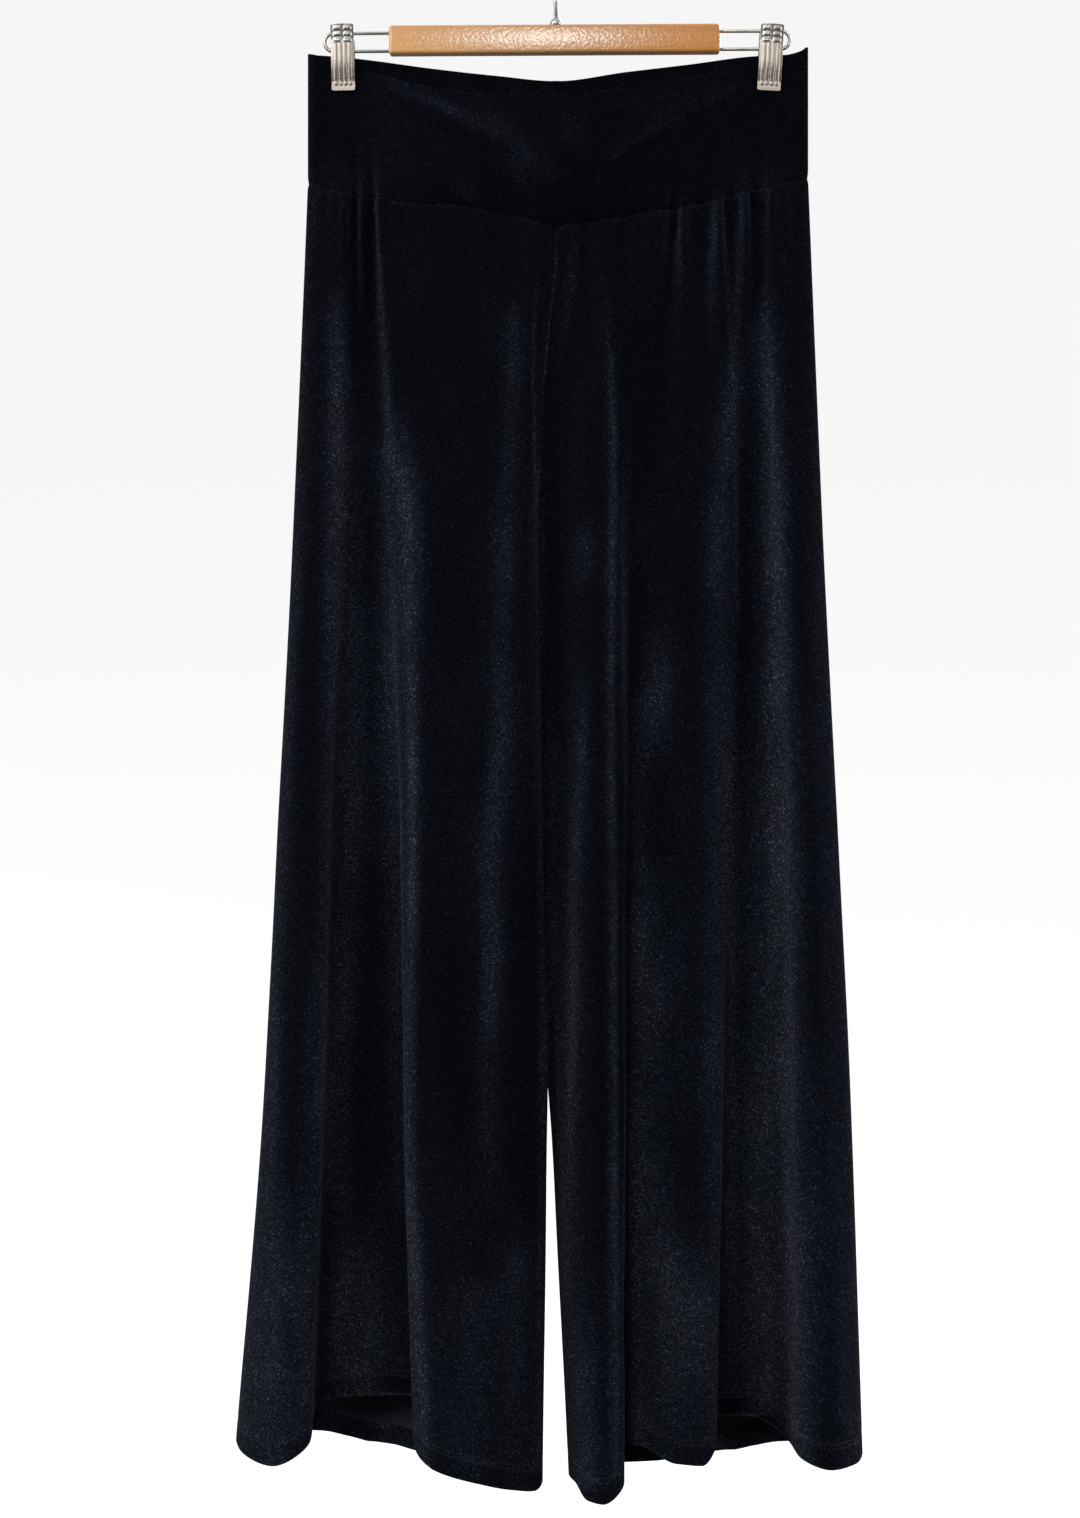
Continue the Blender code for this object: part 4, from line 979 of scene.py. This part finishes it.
def nickel(name, polished_above):
    """Nickel plate: warm and satin, but cooler and polished above a height."""
    n = Nodes(name)
    patches = n.noise(NICKEL_PATCHES, 2, 0.4)
    above = n.math("MULTIPLY_ADD", n.object_axis("Z"), NICKEL_TURN, -NICKEL_TURN * polished_above)
    above = n.ramp(above, LINEAR)
    tone = n.mix("MIX", above, n.ramp(patches, NICKEL_SATIN), n.ramp(patches, NICKEL_POLISHED))
    rough = n.math("MULTIPLY_ADD", above, POLISHED_ROUGHNESS - SATIN_ROUGHNESS, SATIN_ROUGHNESS)
    n.set(Base_Color=tone, Metallic=0.82, Roughness=rough)
    return n.material


PILE = velvet()
BACK_SIDE = velvet_back()
THREAD_FINISH = thread()
BEECH = beech()
NICKEL = nickel("satin_nickel", CLIP_POLISHED_ABOVE)
POLISHED = nickel("polished_nickel", WIRE_POLISHED_ABOVE)


def new_object(name, mesh, slot, *materials):
    """A piece of the object: it rides on the one body and takes the materials given. Its slot is not used.
    """
    obj = bpy.data.objects.new(name, mesh)
    bpy.context.scene.collection.objects.link(obj)
    for each in materials:
        mesh.materials.append(each)
    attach(obj, "root")
    return obj


def mesh_of(name, bm):
    """The smooth mesh of a finished bmesh."""
    mesh = bpy.data.meshes.new(name)
    bm.to_mesh(mesh)
    bm.free()
    mesh.shade_smooth()
    return mesh


def mesh_from(name, points, faces):
    """The smooth mesh of some points and faces."""
    mesh = bpy.data.meshes.new(name)
    mesh.from_pydata(points, [], faces)
    mesh.shade_smooth()
    return mesh


def spun(profile, steps):
    """A profile of (radius, height) places turned about Z, closed where it meets the axis."""
    bm = bmesh.new()
    made = [bm.verts.new((radius, 0, height)) for radius, height in profile]
    edges = [bm.edges.new(pair) for pair in zip(made, made[1:])]
    bmesh.ops.spin(bm, geom=made + edges, cent=(0, 0, 0), axis=(0, 0, 1), angle=2 * math.pi, steps=steps,
                   use_merge=True)
    bmesh.ops.remove_doubles(bm, verts=bm.verts, dist=SAME_POINT)
    return bm


def wire_faces(first, rings, sides):
    """The faces of a closed wire whose rings of points follow one another from the point numbered first."""
    faces = []
    for low in range(first, first + (rings - 1) * sides, sides):
        high = low + sides
        for k in range(sides):
            faces.append((low + k, low + (k + 1) % sides, high + (k + 1) % sides, high + k))
    last = first + (rings - 1) * sides
    return faces + [[first + k for k in reversed(range(sides))], [last + k for k in range(sides)]]


def shell(name, slot, outer, inner, pile_inside, painted_light, more_inside, materials):
    """A closed sheet between two grids of points. The rows flagged in pile_inside take the first material
    inside too, and more_inside is what the painted light inside has over the painted light outside."""
    rows, columns = outer.shape[:2]
    points = np.concatenate([outer.reshape(-1, 3), inner.reshape(-1, 3)])
    index = np.arange(rows * columns).reshape(rows, columns)
    under = index + rows * columns
    a, b, c, d = index[:-1, :-1], index[:-1, 1:], index[1:, 1:], index[1:, :-1]
    faces = [np.stack([a, b, c, d], axis=-1).reshape(-1, 4)]
    a, b, c, d = under[:-1, :-1], under[1:, :-1], under[1:, 1:], under[:-1, 1:]
    faces.append(np.stack([a, b, c, d], axis=-1).reshape(-1, 4))
    for j, turn in ((0, 1), (columns - 1, -1)):
        strip = np.stack([index[:-1, j], index[1:, j], under[1:, j], under[:-1, j]], axis=-1)
        faces.append(strip[:, ::turn])
    for i, turn in ((0, -1), (rows - 1, 1)):
        strip = np.stack([index[i, :-1], index[i, 1:], under[i, 1:], under[i, :-1]], axis=-1)
        faces.append(strip[:, ::turn])
    mesh = bpy.data.meshes.new(name)
    mesh.from_pydata(points.tolist(), [], np.concatenate(faces).tolist())
    quads = (rows - 1) * (columns - 1)
    slots = np.zeros(len(mesh.polygons), dtype=np.int32)
    slots[quads:2 * quads] = np.repeat(~pile_inside[:-1], columns - 1).astype(np.int32)
    mesh.polygons.foreach_set("material_index", slots)
    bm = bmesh.new()
    bm.from_mesh(mesh)
    bmesh.ops.recalc_face_normals(bm, faces=bm.faces)
    bm.to_mesh(mesh)
    bm.free()
    # Light painted into the pile's colour at each point, and painted shade where it is low.
    layer = mesh.attributes.new("painted_light", "FLOAT", "POINT")
    both = np.concatenate([painted_light.ravel(), painted_light.ravel() + more_inside])
    layer.data.foreach_set("value", both.astype(np.float32))
    mesh.shade_smooth()
    obj = new_object(name, mesh, slot, *materials)
    edges = obj.modifiers.new("rounded edges", "BEVEL")
    edges.width = EDGE_ROUND
    edges.segments = EDGE_SEGMENTS
    edges.limit_method = "ANGLE"
    edges.angle_limit = EDGE_ANGLE
    return obj


def leg_grid(rows, is_front):
    """The outer points of a leg panel before its creases, the directions out of it, and the height above
    the hem and the drop below the waist seam at each point."""
    at = column_places(rows, is_front)
    seam, hem, lift = drops(rows, is_front, at)
    length = float(np.mean(hem - seam))
    zone = 1 - HEM_ZONE / length
    shares = [GATHER_ZONE * (i / GATHER_ROWS) for i in range(GATHER_ROWS)]
    shares += [GATHER_ZONE + (zone - GATHER_ZONE) * i / LEG_ROWS for i in range(LEG_ROWS)]
    hem_rows = [HEM_ZONE * (1 - i / HEM_ROWS) for i in range(HEM_ROWS + 1)]
    down = [seam + share * (hem - seam) - lift * max(0.0, 1 - share / FORK) ** 2 for share in shares]
    down = np.array(down + [hem - above * (hem - seam) / length for above in hem_rows])
    shares += [1 - above / length for above in hem_rows]
    places, outs = zip(*(panel_section(rows, is_front, share, at) for share in shares))
    return np.dstack([np.array(places), -down]), np.array(outs), hem - down, down - down[0]


def offset(grid, outs, amount):
    """A grid moved along its own directions, seen from above."""
    moved = grid.copy()
    moved[..., :2] += outs * amount[..., None]
    return moved


def redirected(grid, outs):
    """The directions out of a displaced grid. Its side edges keep theirs, so that the seams still meet."""
    along = grid[:, 2:, :2] - grid[:, :-2, :2]
    across = outward(along, 1)
    sign = np.sign(np.sum(across * outs[:, 1:-1], axis=-1, keepdims=True))
    result = outs.copy()
    result[:, 1:-1] = across * sign
    return result


def needle_rows(above):
    """The shallow grooves that the hem's two rows of stitches pull."""
    return sum(-NEEDLE_DIP * np.exp(-((above - row) / NEEDLE_WIDTH) ** 2) for row in NEEDLE_ROWS)


def hem_painted_light(above, hem):
    """The painted light and painted shade in the hem, whose drop is given. Where it is drawn up, its edge
    has a stronger painted highlight and the cloth over the edge a deeper painted shade."""
    drawn_up = ease((HEM_DRAWN_UP - hem) / HEM_DRAWN_UP_STEP)
    total = (PAINTED_TURN_UP_SHADE + PAINTED_DRAWN_UP_SHADE * drawn_up) * ease((NEEDLE_ROWS[0] - above) / PAINTED_TURN_UP_SHADE_FADE)
    for row in NEEDLE_ROWS:
        total = total + PAINTED_NEEDLE_HIGHLIGHT * np.exp(-((above - row - NEEDLE_WIDTH) / NEEDLE_WIDTH) ** 2)
    return total + PAINTED_HEM_EDGE_HIGHLIGHT * (PAINTED_HEM_EDGE_LOW + drawn_up) * np.exp(-(above / PAINTED_HEM_EDGE_WIDTH) ** 2)


def leg_shape(grid, arcs, above, below, is_front):
    """How far the cloth of a leg panel stands out of its smooth form: gathers, creases and sway away from
    the seams, and then the seams, the hem's grooves and the press of the two legs."""
    to_inner = arcs[:, -1:] - arcs
    free = ease(np.minimum(arcs, to_inner) / FREE_FROM_EDGE) * ease(below / FREE_FROM_SEAM)
    shape = gathers(grid, below, arcs, FRONT_GATHERS if is_front else BACK_GATHERS)
    shape += creases(grid, arcs, FRONT_CREASES if is_front else BACK_CREASES)
    shape += SWAY_LEG * sway(arcs, below, 1.0 if is_front else 2.0)
    shape *= free
    level = (below / (below + above)).mean(axis=1)[:, None]
    turned_in = np.array([fork_turn(share + DIRECTION_STEP) for share in level[:, 0]])[:, None]
    shape += seam_dip(arcs, 1 - turned_in) + needle_rows(above)
    shape += legs_meeting(level) * np.exp(-(to_inner / LEGS_MEET_WIDTH) ** 2)
    return shape - SEAM_DIP * np.exp(-(below / SEAM_WIDTH) ** 2)


def leg_painted_light(outer, arcs, above, below, is_front):
    """The painted light and painted shade at each point of a leg panel."""
    drop = -outer[..., 2]
    painted_light = PAINTED_LIGHT_REST + PAINTED_LIGHT_SWAY * sway(arcs * 0.7, below * 1.3, 5.0)
    painted_light += streaks(outer[..., 0], drop, FRONT_PAINTED_STREAKS if is_front else BACK_PAINTED_STREAKS)
    painted_light += PAINTED_LIGHT_HEM * ease((drop - PAINTED_LIGHT_HEM_FROM) / PAINTED_LIGHT_HEM_LENGTH)
    painted_light += PAINTED_SEAM_HIGHLIGHT * np.exp(-((below - PAINTED_SEAM_HIGHLIGHT_PLACE) / PAINTED_SEAM_HIGHLIGHT_WIDTH) ** 2)
    return np.clip(painted_light + hem_painted_light(above, drop + above), PAINTED_LIGHT_LEAST, PAINTED_LIGHT_MOST)


def leg_panel(side, is_front):
    """A front or back panel of one leg, and its hem's stitches."""
    rows = RIGHT_FRONT if side == "right" else LEFT_FRONT
    node = ("leg_front_" if is_front else "leg_back_") + side
    grid, outs, above, below = leg_grid(rows, is_front)
    arcs = arc_lengths(grid)
    outer = offset(lapped(grid), outs, leg_shape(grid, arcs, above, below, is_front))
    facing = redirected(outer, outs)
    turned = ease((TURN_UP + TURN_UP_STEP - above) / TURN_UP_STEP)
    inner = offset(outer, facing, -(LEG_WALL + (HEM_WALL - LEG_WALL) * turned))
    # Light and shade painted into the pile's colour of this panel.
    painted_light = leg_painted_light(outer, arcs, above, below, is_front)
    pile_inside = above.mean(axis=1) < TURN_UP
    piece = shell("velvet_" + node, "velvet", outer, inner, pile_inside, painted_light, PAINTED_LIGHT_INSIDE, (PILE, BACK_SIDE))
    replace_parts(piece, node)
    return piece, hem_stitches(node, outer, facing, above)


def hem_stitches(node, outer, facing, above):
    """The two rows of needle stitches round a panel's hem, in one mesh."""
    points, faces = [], []
    for height in NEEDLE_ROWS:
        row = int(np.argmin(np.abs(above.mean(axis=1) - height)))
        line, outs = outer[row], facing[row]
        run = np.concatenate([[0.0], np.cumsum(np.linalg.norm(np.diff(line, axis=0), axis=1))])
        start = STITCH_GAP
        while start + STITCH < run[-1]:
            lay_stitch(points, faces, line, outs, run, start)
            start += STITCH + STITCH_GAP
    name = "hem_stitches_" + node
    return new_object(name, mesh_from(name, points, faces), "velvet", THREAD_FINISH)


def lay_stitch(points, faces, line, outs, run, start):
    """One stitch: a short thread that rises out of the cloth, lies on it and goes back in."""
    faces += wire_faces(len(points), STITCH_RINGS, STITCH_SIDES)
    for i in range(STITCH_RINGS):
        share = i / (STITCH_RINGS - 1)
        here = start + STITCH * share
        place = Vector([np.interp(here, run, line[:, k]) for k in range(3)])
        out = Vector([np.interp(here, run, outs[:, k]) for k in range(2)] + [0]).normalized()
        arch = math.sin(math.pi * share)
        lift = THREAD * (STITCH_RISE * arch - STITCH_SUNK)
        radius = THREAD * (STITCH_END + (1 - STITCH_END) * arch)
        for k in range(STITCH_SIDES):
            turn = 2 * math.pi * k / STITCH_SIDES
            upright = Vector((0, 0, radius * math.sin(turn)))
            points.append(place + out * (lift + radius * math.cos(turn)) + upright)


def band_folds(x, drop):
    """How far the drape folds across the front of the waistband stand out. Each falls away faster on its
    lower side."""
    total = np.zeros(x.shape)
    for start, end, above, under, height in BAND_FOLDS:
        start, end = np.array(start) * MM, np.array(end) * MM
        along = end - start
        length = np.linalg.norm(along)
        dx, dz = x - start[0], drop - start[1]
        share = (dx * along[0] + dz * along[1]) / length ** 2
        away = (dz * along[0] - dx * along[1]) / length * math.copysign(1, along[0])
        width = np.where(away > 0, under, above) * MM
        fade = ease(4 * share) * ease(3 * (1 - share))
        total += height * MM * fade * np.exp(-(away / width) ** 2)
    return total


def band_piece(node, section, is_front):
    """One sewn piece of the waistband, over a section of the waist seam."""
    place, out, seam = section
    x = place[:, 0]
    marks = [row[1] * MM for row in BAND_TOP]
    edge = [row[2 if is_front else 3] for row in BAND_TOP]
    depth, top = (smooth_all(marks, [point[k] * MM for point in edge], x) for k in (0, 1))
    depth *= np.minimum(1.0, np.abs(place[:, 1]) / SIDE_ROUND)
    up = np.linspace(0, 1, BAND_ROWS + 1)[:, None]
    follow = np.maximum(0.0, 1 - up / BAND_FREE) ** BAND_LEAVING
    low = seam + GAP / 6
    drop = low + (top - low) * up
    y = depth + (place[:, 1] - depth) * follow
    grid = np.dstack([np.broadcast_to(x, drop.shape), y, -drop])
    arcs = arc_lengths(grid)
    from_edge = np.minimum(arcs, arcs[:, -1:] - arcs)
    shape = SWAY_BAND * sway(arcs * 1.6, drop * 2.0, 3.0)
    shape *= ease(from_edge / FREE_FROM_EDGE) * ease(BAND_SWAY_RISE * up) * ease(BAND_SWAY_RISE * (1 - up))
    if is_front:
        inside = ease(BAND_FOLD_RISE * up) * ease(BAND_FOLD_RISE * (1 - up))
        shape += band_folds(grid[..., 0], drop) * inside
    shape += seam_dip(arcs)
    shape -= SEAM_DIP * BAND_SEAM_SHARE * np.exp(-((seam - drop) / SEAM_WIDTH) ** 2)
    outs = redirected(grid, np.broadcast_to(out, grid.shape[:2] + (2,)))
    outer = offset(lapped(grid), outs, shape)
    outs = redirected(outer, outs)
    inner = offset(outer, outs, np.full(drop.shape, -BAND_WALL))
    # Painted light on the waistband: its sway, its painted sheen streaks and a painted highlight along its
    # top edge.
    painted_light = PAINTED_LIGHT_BAND + PAINTED_LIGHT_BAND_SWAY * sway(arcs, drop * 2.0, 4.0)
    if is_front:
        painted_light += streaks(outer[..., 0], drop, BAND_PAINTED_STREAKS, slanted=True)
        painted_light += PAINTED_BAND_EDGE_HIGHLIGHT * np.exp(-((drop - top) / PAINTED_BAND_EDGE_HIGHLIGHT_WIDTH) ** 2)
    painted_light = np.clip(painted_light, PAINTED_LIGHT_LEAST, PAINTED_LIGHT_MOST)
    whole = np.full(len(grid), True)
    piece = shell("velvet_" + node, "velvet", outer, inner, whole, painted_light, PAINTED_LIGHT_BAND_INSIDE, (PILE, BACK_SIDE))
    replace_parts(piece, node)
    return piece


def band_section(side, is_front):
    """The waist seam's section along one leg panel: places, directions and drops."""
    rows = RIGHT_FRONT if side == "right" else LEFT_FRONT
    at = column_places(rows, is_front)
    place, out = panel_section(rows, is_front, 0.0, at)
    seam, hem, lift = drops(rows, is_front, at)
    return place, out, seam - lift


def waistband():
    """The front in one piece, and two backs that meet at the centre back seam."""
    right, left = band_section("right", True), band_section("left", True)
    middle = (np.array([[0, right[0][-1, 1]]]), np.array([[0.0, -1.0]]), right[2][-1:])
    joined = [np.concatenate([r[:-1], m, l[::-1][1:]]) for r, m, l in zip(right, middle, left)]
    pieces = [band_piece("waistband_front", joined, True)]
    pieces += [band_piece("waistband_back_" + side, band_section(side, False), False) for side in SIDES]
    return pieces


def tilted(point):
    """A point of the level hanger, turned with its slight tilt about the bar's centre."""
    return BAR_CENTRE + Matrix.Rotation(HANGER_TILT, 3, "Y") @ (point - BAR_CENTRE)


def bar():
    """The wooden bar with its softly rounded edges."""
    bm = bmesh.new()
    bmesh.ops.create_cube(bm, size=1)
    bmesh.ops.transform(bm, verts=bm.verts, matrix=Matrix.Diagonal((*BAR_SIZE, 1)))
    bmesh.ops.bevel(bm, geom=bm.edges, offset=BAR_EDGE, segments=BAR_EDGE_SEGMENTS, profile=0.5,
                      affect="EDGES")
    turn = Matrix.Translation(BAR_CENTRE) @ Matrix.Rotation(HANGER_TILT, 4, "Y")
    bmesh.ops.transform(bm, verts=bm.verts, matrix=turn)
    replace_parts(new_object("beech_bar", mesh_of("beech_bar", bm), "wood", BEECH), "hanger_bar")


# Angles from a wire's axis to the rings of its rounded ends.
CAP_ANGLES = (0.25, 0.7, 1.15)


def arc(centre, radius, start, end, steps):
    """Points round an arc in the hanger's plane, at angles from +X towards +Z."""
    angles = [start + (end - start) * i / steps for i in range(steps + 1)]
    return [centre + radius * Vector((math.cos(a), 0, math.sin(a))) for a in angles]


def tube(name, points, radius, finish, sides=WIRE_SIDES):
    """A round metal wire along some points, with rounded ends."""
    points = [Vector(p) for p in points]
    rings = []
    cap = [(1 - math.cos(angle), math.sin(angle)) for angle in CAP_ANGLES]
    first = (points[1] - points[0]).normalized()
    last = (points[-1] - points[-2]).normalized()
    for back, size in cap:
        rings.append((points[0] + first * radius * back, radius * size, first))
    for i, point in enumerate(points[1:-1], 1):
        rings.append((point, radius, (points[i + 1] - points[i - 1]).normalized()))
    for back, size in reversed(cap):
        rings.append((points[-1] - last * radius * back, radius * size, last))
    verts = []
    side_way = first.orthogonal().normalized()
    turns = [2 * math.pi * k / sides for k in range(sides)]
    for place, size, along in rings:
        side_way = (side_way - along * side_way.dot(along)).normalized()
        other = along.cross(side_way)
        verts += [place + size * (side_way * math.cos(turn) + other * math.sin(turn)) for turn in turns]
    mesh = mesh_from(name, verts, wire_faces(0, len(rings), sides))
    return new_object(name, mesh, "plated_steel", finish)


def clip_wire(side_name):
    """The hairpin of wire out of one end of the bar."""
    bend = WIRE_SPACING / 2
    end = WIRE_ENDS[side_name]
    side = math.copysign(1, end)
    start = side * (BAR_SIZE[0] / 2 - WIRE_SET_IN) + BAR_CENTRE.x
    centre = Vector((end - side * (WIRE_RADIUS + bend), 0, WIRE_HEIGHT))
    turn = arc(centre, bend, math.pi / 2, math.pi / 2 - side * math.pi, WIRE_STEPS)
    points = [Vector((start, 0, WIRE_HEIGHT + bend))] + turn + [Vector((start, 0, WIRE_HEIGHT - bend))]
    node = "clip_wire_" + side_name
    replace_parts(tube("nickel_" + node, [tilted(point) for point in points], WIRE_RADIUS, POLISHED), node)


def bar_top():
    """Height of the bar's top face under the hook."""
    rise_at_hook = -BAR_CENTRE.x * math.sin(-HANGER_TILT)
    return BAR_CENTRE.z + BAR_SIZE[2] / 2 / math.cos(HANGER_TILT) + rise_at_hook


def hook():
    """The wire hook over the rail: an arc, a neck that bends back, and a stem in the ferrule."""
    radius = HOOK_INNER_RADIUS + HOOK_WIRE_RADIUS
    centre = Vector((0, 0, -HOOK_INNER_RADIUS))
    turn = -math.acos(HOOK_NECK_RADIUS / (radius + HOOK_NECK_RADIUS))
    over = arc(centre, radius, HOOK_TIP_ANGLE, turn, HOOK_STEPS)
    reach = radius + HOOK_NECK_RADIUS
    neck_centre = centre + reach * Vector((math.cos(turn), 0, math.sin(turn)))
    neck = arc(neck_centre, HOOK_NECK_RADIUS, turn + math.pi, math.pi, NECK_STEPS)
    stem = Vector((0, 0, bar_top() + FERRULE_HEIGHT - STEM_SET_IN))
    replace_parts(tube("nickel_hook", over + neck[1:] + [stem], HOOK_WIRE_RADIUS, POLISHED), "hanger_hook")


# The ferrule's outline from its top: shares of its radius and of its height.
FERRULE = (
    (0.0, 1.0), (0.45, 1.0), (0.66, 0.98), (0.76, 0.90), (0.80, 0.74), (0.88, 0.62), (0.97, 0.50),
    (1.0, 0.36), (1.0, 0.08), (0.97, 0.02), (0.90, 0.0), (0.0, 0.0),
)


def ferrule():
    """The turned collar on the bar that the hook swivels in."""
    profile = [(r * FERRULE_RADIUS, bar_top() + h * FERRULE_HEIGHT) for r, h in FERRULE]
    bm = spun(profile, FERRULE_SIDES)
    bmesh.ops.recalc_face_normals(bm, faces=bm.faces)
    collar = new_object("nickel_ferrule", mesh_of("nickel_ferrule", bm), "plated_steel", POLISHED)
    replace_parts(collar, "hook_ferrule")


# Pressed form of a clip's jaw, in millimetres from its middle line and drops below the origin: the four
# upright ribs, what share of their height is sunk, and the two columns of three grip bumps. Then its
# fineness, its rounded corners, its wall and the rounding of its edges.
RIB_PLACES = (-5.4, -1.8, 1.8, 5.4)
RIB_WIDTH = 1.45
RIB_HEIGHT = 0.75
RIB_SUNK = 0.4
RIB_FROM, RIB_TO = 89.8, 121.4
BUMP_PLACES = (-3.9, 3.9)
BUMP_DROPS = (79.6, 83.8, 88.0)
BUMP_WIDTH = 3.2
BUMP_TALL = 1.8
BUMP_HEIGHT = 0.9
JAW_COLUMNS = 72
JAW_ROWS = 150
JAW_CORNER = 1.4
JAW_WALL = 0.9 * MM
JAW_EDGE_ROUND = 0.3 * MM
JAW_EDGE_ANGLE = math.radians(78)


def pressed(across, drop):
    """How far the ribs and bumps of a jaw stand out, in millimetres."""
    height = np.zeros(across.shape)
    for middle in RIB_PLACES:
        past = np.maximum(0, np.maximum(RIB_FROM + RIB_WIDTH - drop, drop - RIB_TO + RIB_WIDTH))
        away = np.hypot(across - middle, past) / RIB_WIDTH
        height = np.maximum(height, RIB_HEIGHT * np.sqrt(np.clip(1 - away ** 2, 0, 1)))
    for middle in BUMP_PLACES:
        for level in BUMP_DROPS:
            side = np.clip(1 - np.abs((across - middle) / BUMP_WIDTH) ** 4, 0, 1)
            down = (drop - level) / BUMP_TALL
            lens = np.clip(1 - down ** 2, 0, 1) * (1 + 0.5 * down)
            height = np.maximum(height, BUMP_HEIGHT * side * lens)
    return height


def jaw(node, side_name, facing):
    """One pressed jaw of a clip: a crowned sheet with ribs, grip bumps and rounded corners."""
    centre_x, turn = CLIPS[side_name]
    first, last = JAW_SIDE[0][0], JAW_SIDE[-1][0]
    levels = np.linspace(first, last, JAW_ROWS + 1)
    away = smooth_all(*zip(*JAW_SIDE), levels)
    half = CLIP_WIDTH / 2 / MM
    from_end = np.minimum(levels - first, last - levels)
    cut = JAW_CORNER - np.sqrt(np.maximum(0, JAW_CORNER ** 2 - np.maximum(0, JAW_CORNER - from_end) ** 2))
    share = np.linspace(-1, 1, JAW_COLUMNS + 1)[None, :]
    across = share * (half - cut)[:, None]
    drop = np.broadcast_to(levels[:, None], across.shape)
    crown = JAW_CROWN / MM * (1 - share ** 2) * ease((JAW_LIP - drop) / JAW_CROWN_FADE)
    base = away[:, None] + crown + CLIP_SHEET / MM
    outer = base + pressed(across, drop) - RIB_HEIGHT * RIB_SUNK
    inner = outer - JAW_WALL / MM
    down = drop - CLIP_MIDDLE

    def points(depth):
        x = centre_x / MM + across * math.cos(turn) - down * math.sin(turn)
        z = -CLIP_MIDDLE - down * math.cos(turn) - across * math.sin(turn)
        return np.dstack([x, facing * depth, z]) * MM

    whole = np.full(len(levels), True)
    bare = np.zeros(across.shape)
    obj = shell("nickel_" + node, "plated_steel", points(outer), points(inner), whole, bare, 0.0, (NICKEL,))
    obj.modifiers["rounded edges"].width = JAW_EDGE_ROUND
    obj.modifiers["rounded edges"].angle_limit = JAW_EDGE_ANGLE
    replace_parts(obj, node)


def spring(side_name):
    """The coil spring between the jaws, with its two legs pressed against them."""
    centre = Vector((CLIPS[side_name][0], 0, WIRE_HEIGHT))
    radius = SPRING_RADIUS - SPRING_WIRE
    half = SPRING_LENGTH / 2 - SPRING_WIRE
    points = [Vector((-half, *SPRING_FOOT))]
    for i in range(SPRING_TURNS * SPRING_STEPS + 1):
        share = i / (SPRING_TURNS * SPRING_STEPS)
        angle = 2 * math.pi * i / SPRING_STEPS
        points.append(Vector((half * (2 * share - 1), -radius * math.cos(angle), radius * math.sin(angle))))
    points.append(Vector((half, *SPRING_FOOT)))
    node = "clip_spring_" + side_name
    points = [tilted(centre + point) for point in points]
    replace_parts(tube("nickel_" + node, points, SPRING_WIRE, NICKEL, SPRING_SIDES), node)


def clips():
    """Each clip's wire, its two jaws and its spring."""
    for side in SIDES:
        clip_wire(side)
        jaw("clip_front_" + side, side, -1)
        jaw("clip_back_" + side, side, 1)
        spring(side)


def stage():
    """A pale floor that curves up into a pale wall all round, lit evenly by itself."""
    flat = STAGE_RADIUS - STAGE_BEND
    profile = [(0.0, FLOOR_HEIGHT), (flat, FLOOR_HEIGHT)]
    for i in range(1, STAGE_BEND_STEPS + 1):
        angle = math.pi / 2 * i / STAGE_BEND_STEPS
        height = STAGE_BEND - STAGE_BEND * math.cos(angle)
        profile.append((flat + STAGE_BEND * math.sin(angle), FLOOR_HEIGHT + height))
    profile.append((STAGE_RADIUS, FLOOR_HEIGHT + STAGE_HEIGHT))
    mesh = mesh_of("floor", spun(profile, STAGE_SIDES))
    n = Nodes("pale_floor")
    n.set(Base_Color=STAGE_COLOUR, Roughness=0.95, Specular_IOR_Level=0.0)
    n.set(Emission_Color=STAGE_GLOW, Emission_Strength=STAGE_GLOW_STRENGTH)
    mesh.materials.append(n.material)
    floor = bpy.data.objects.new("floor", mesh)
    bpy.context.scene.collection.objects.link(floor)
    floor.visible_diffuse = False
    floor.visible_glossy = False


def area_light(name, place, target, size, power):
    """A soft rectangular light that faces a point."""
    light = bpy.data.lights.new(name, "AREA")
    light.shape = "RECTANGLE"
    light.size, light.size_y = size
    light.energy = power
    obj = bpy.data.objects.new(name, light)
    obj.location = place
    obj.rotation_euler = (Vector(target) - Vector(place)).to_track_quat("-Z", "Y").to_euler()
    bpy.context.scene.collection.objects.link(obj)


def lights():
    """The area lights, and a dim room that is brightest overhead."""
    for light in LIGHTS:
        area_light(*light)
    world = bpy.data.worlds.new("room")
    bpy.context.scene.world = world
    world.use_nodes = True
    tree = world.node_tree
    place = tree.nodes.new("ShaderNodeTexCoord")
    split = tree.nodes.new("ShaderNodeSeparateXYZ")
    ramp = tree.nodes.new("ShaderNodeValToRGB")
    for element, (height, colour) in zip(ramp.color_ramp.elements, ROOM):
        element.position = height
        element.color = (*colour, 1)
    tree.links.new(place.outputs["Generated"], split.inputs["Vector"])
    tree.links.new(split.outputs["Z"], ramp.inputs["Fac"])
    tree.links.new(ramp.outputs["Color"], tree.nodes["Background"].inputs["Color"])
    tree.nodes["Background"].inputs["Strength"].default_value = ROOM_STRENGTH


def camera():
    """A level camera in front of the hanging cloth."""
    data = bpy.data.cameras.new("camera")
    data.sensor_width = SENSOR
    data.lens = SENSOR * -CAMERA_PLACE.y / CAMERA_SPAN
    obj = bpy.data.objects.new("camera", data)
    obj.location = CAMERA_PLACE
    obj.rotation_euler = (math.pi / 2, 0, 0)
    bpy.context.scene.collection.objects.link(obj)
    bpy.context.scene.camera = obj


def build():
    """The whole scene."""
    camera()
    lights()
    stage()
    pieces, stitches = waistband(), {}
    for side in SIDES:
        for is_front in (True, False):
            piece, sewn = leg_panel(side, is_front)
            pieces.append(piece)
            stitches[piece.name] = sewn
    bar()
    hook()
    ferrule()
    clips()
    bpy.context.scene.view_settings.view_transform = "Standard"


build()
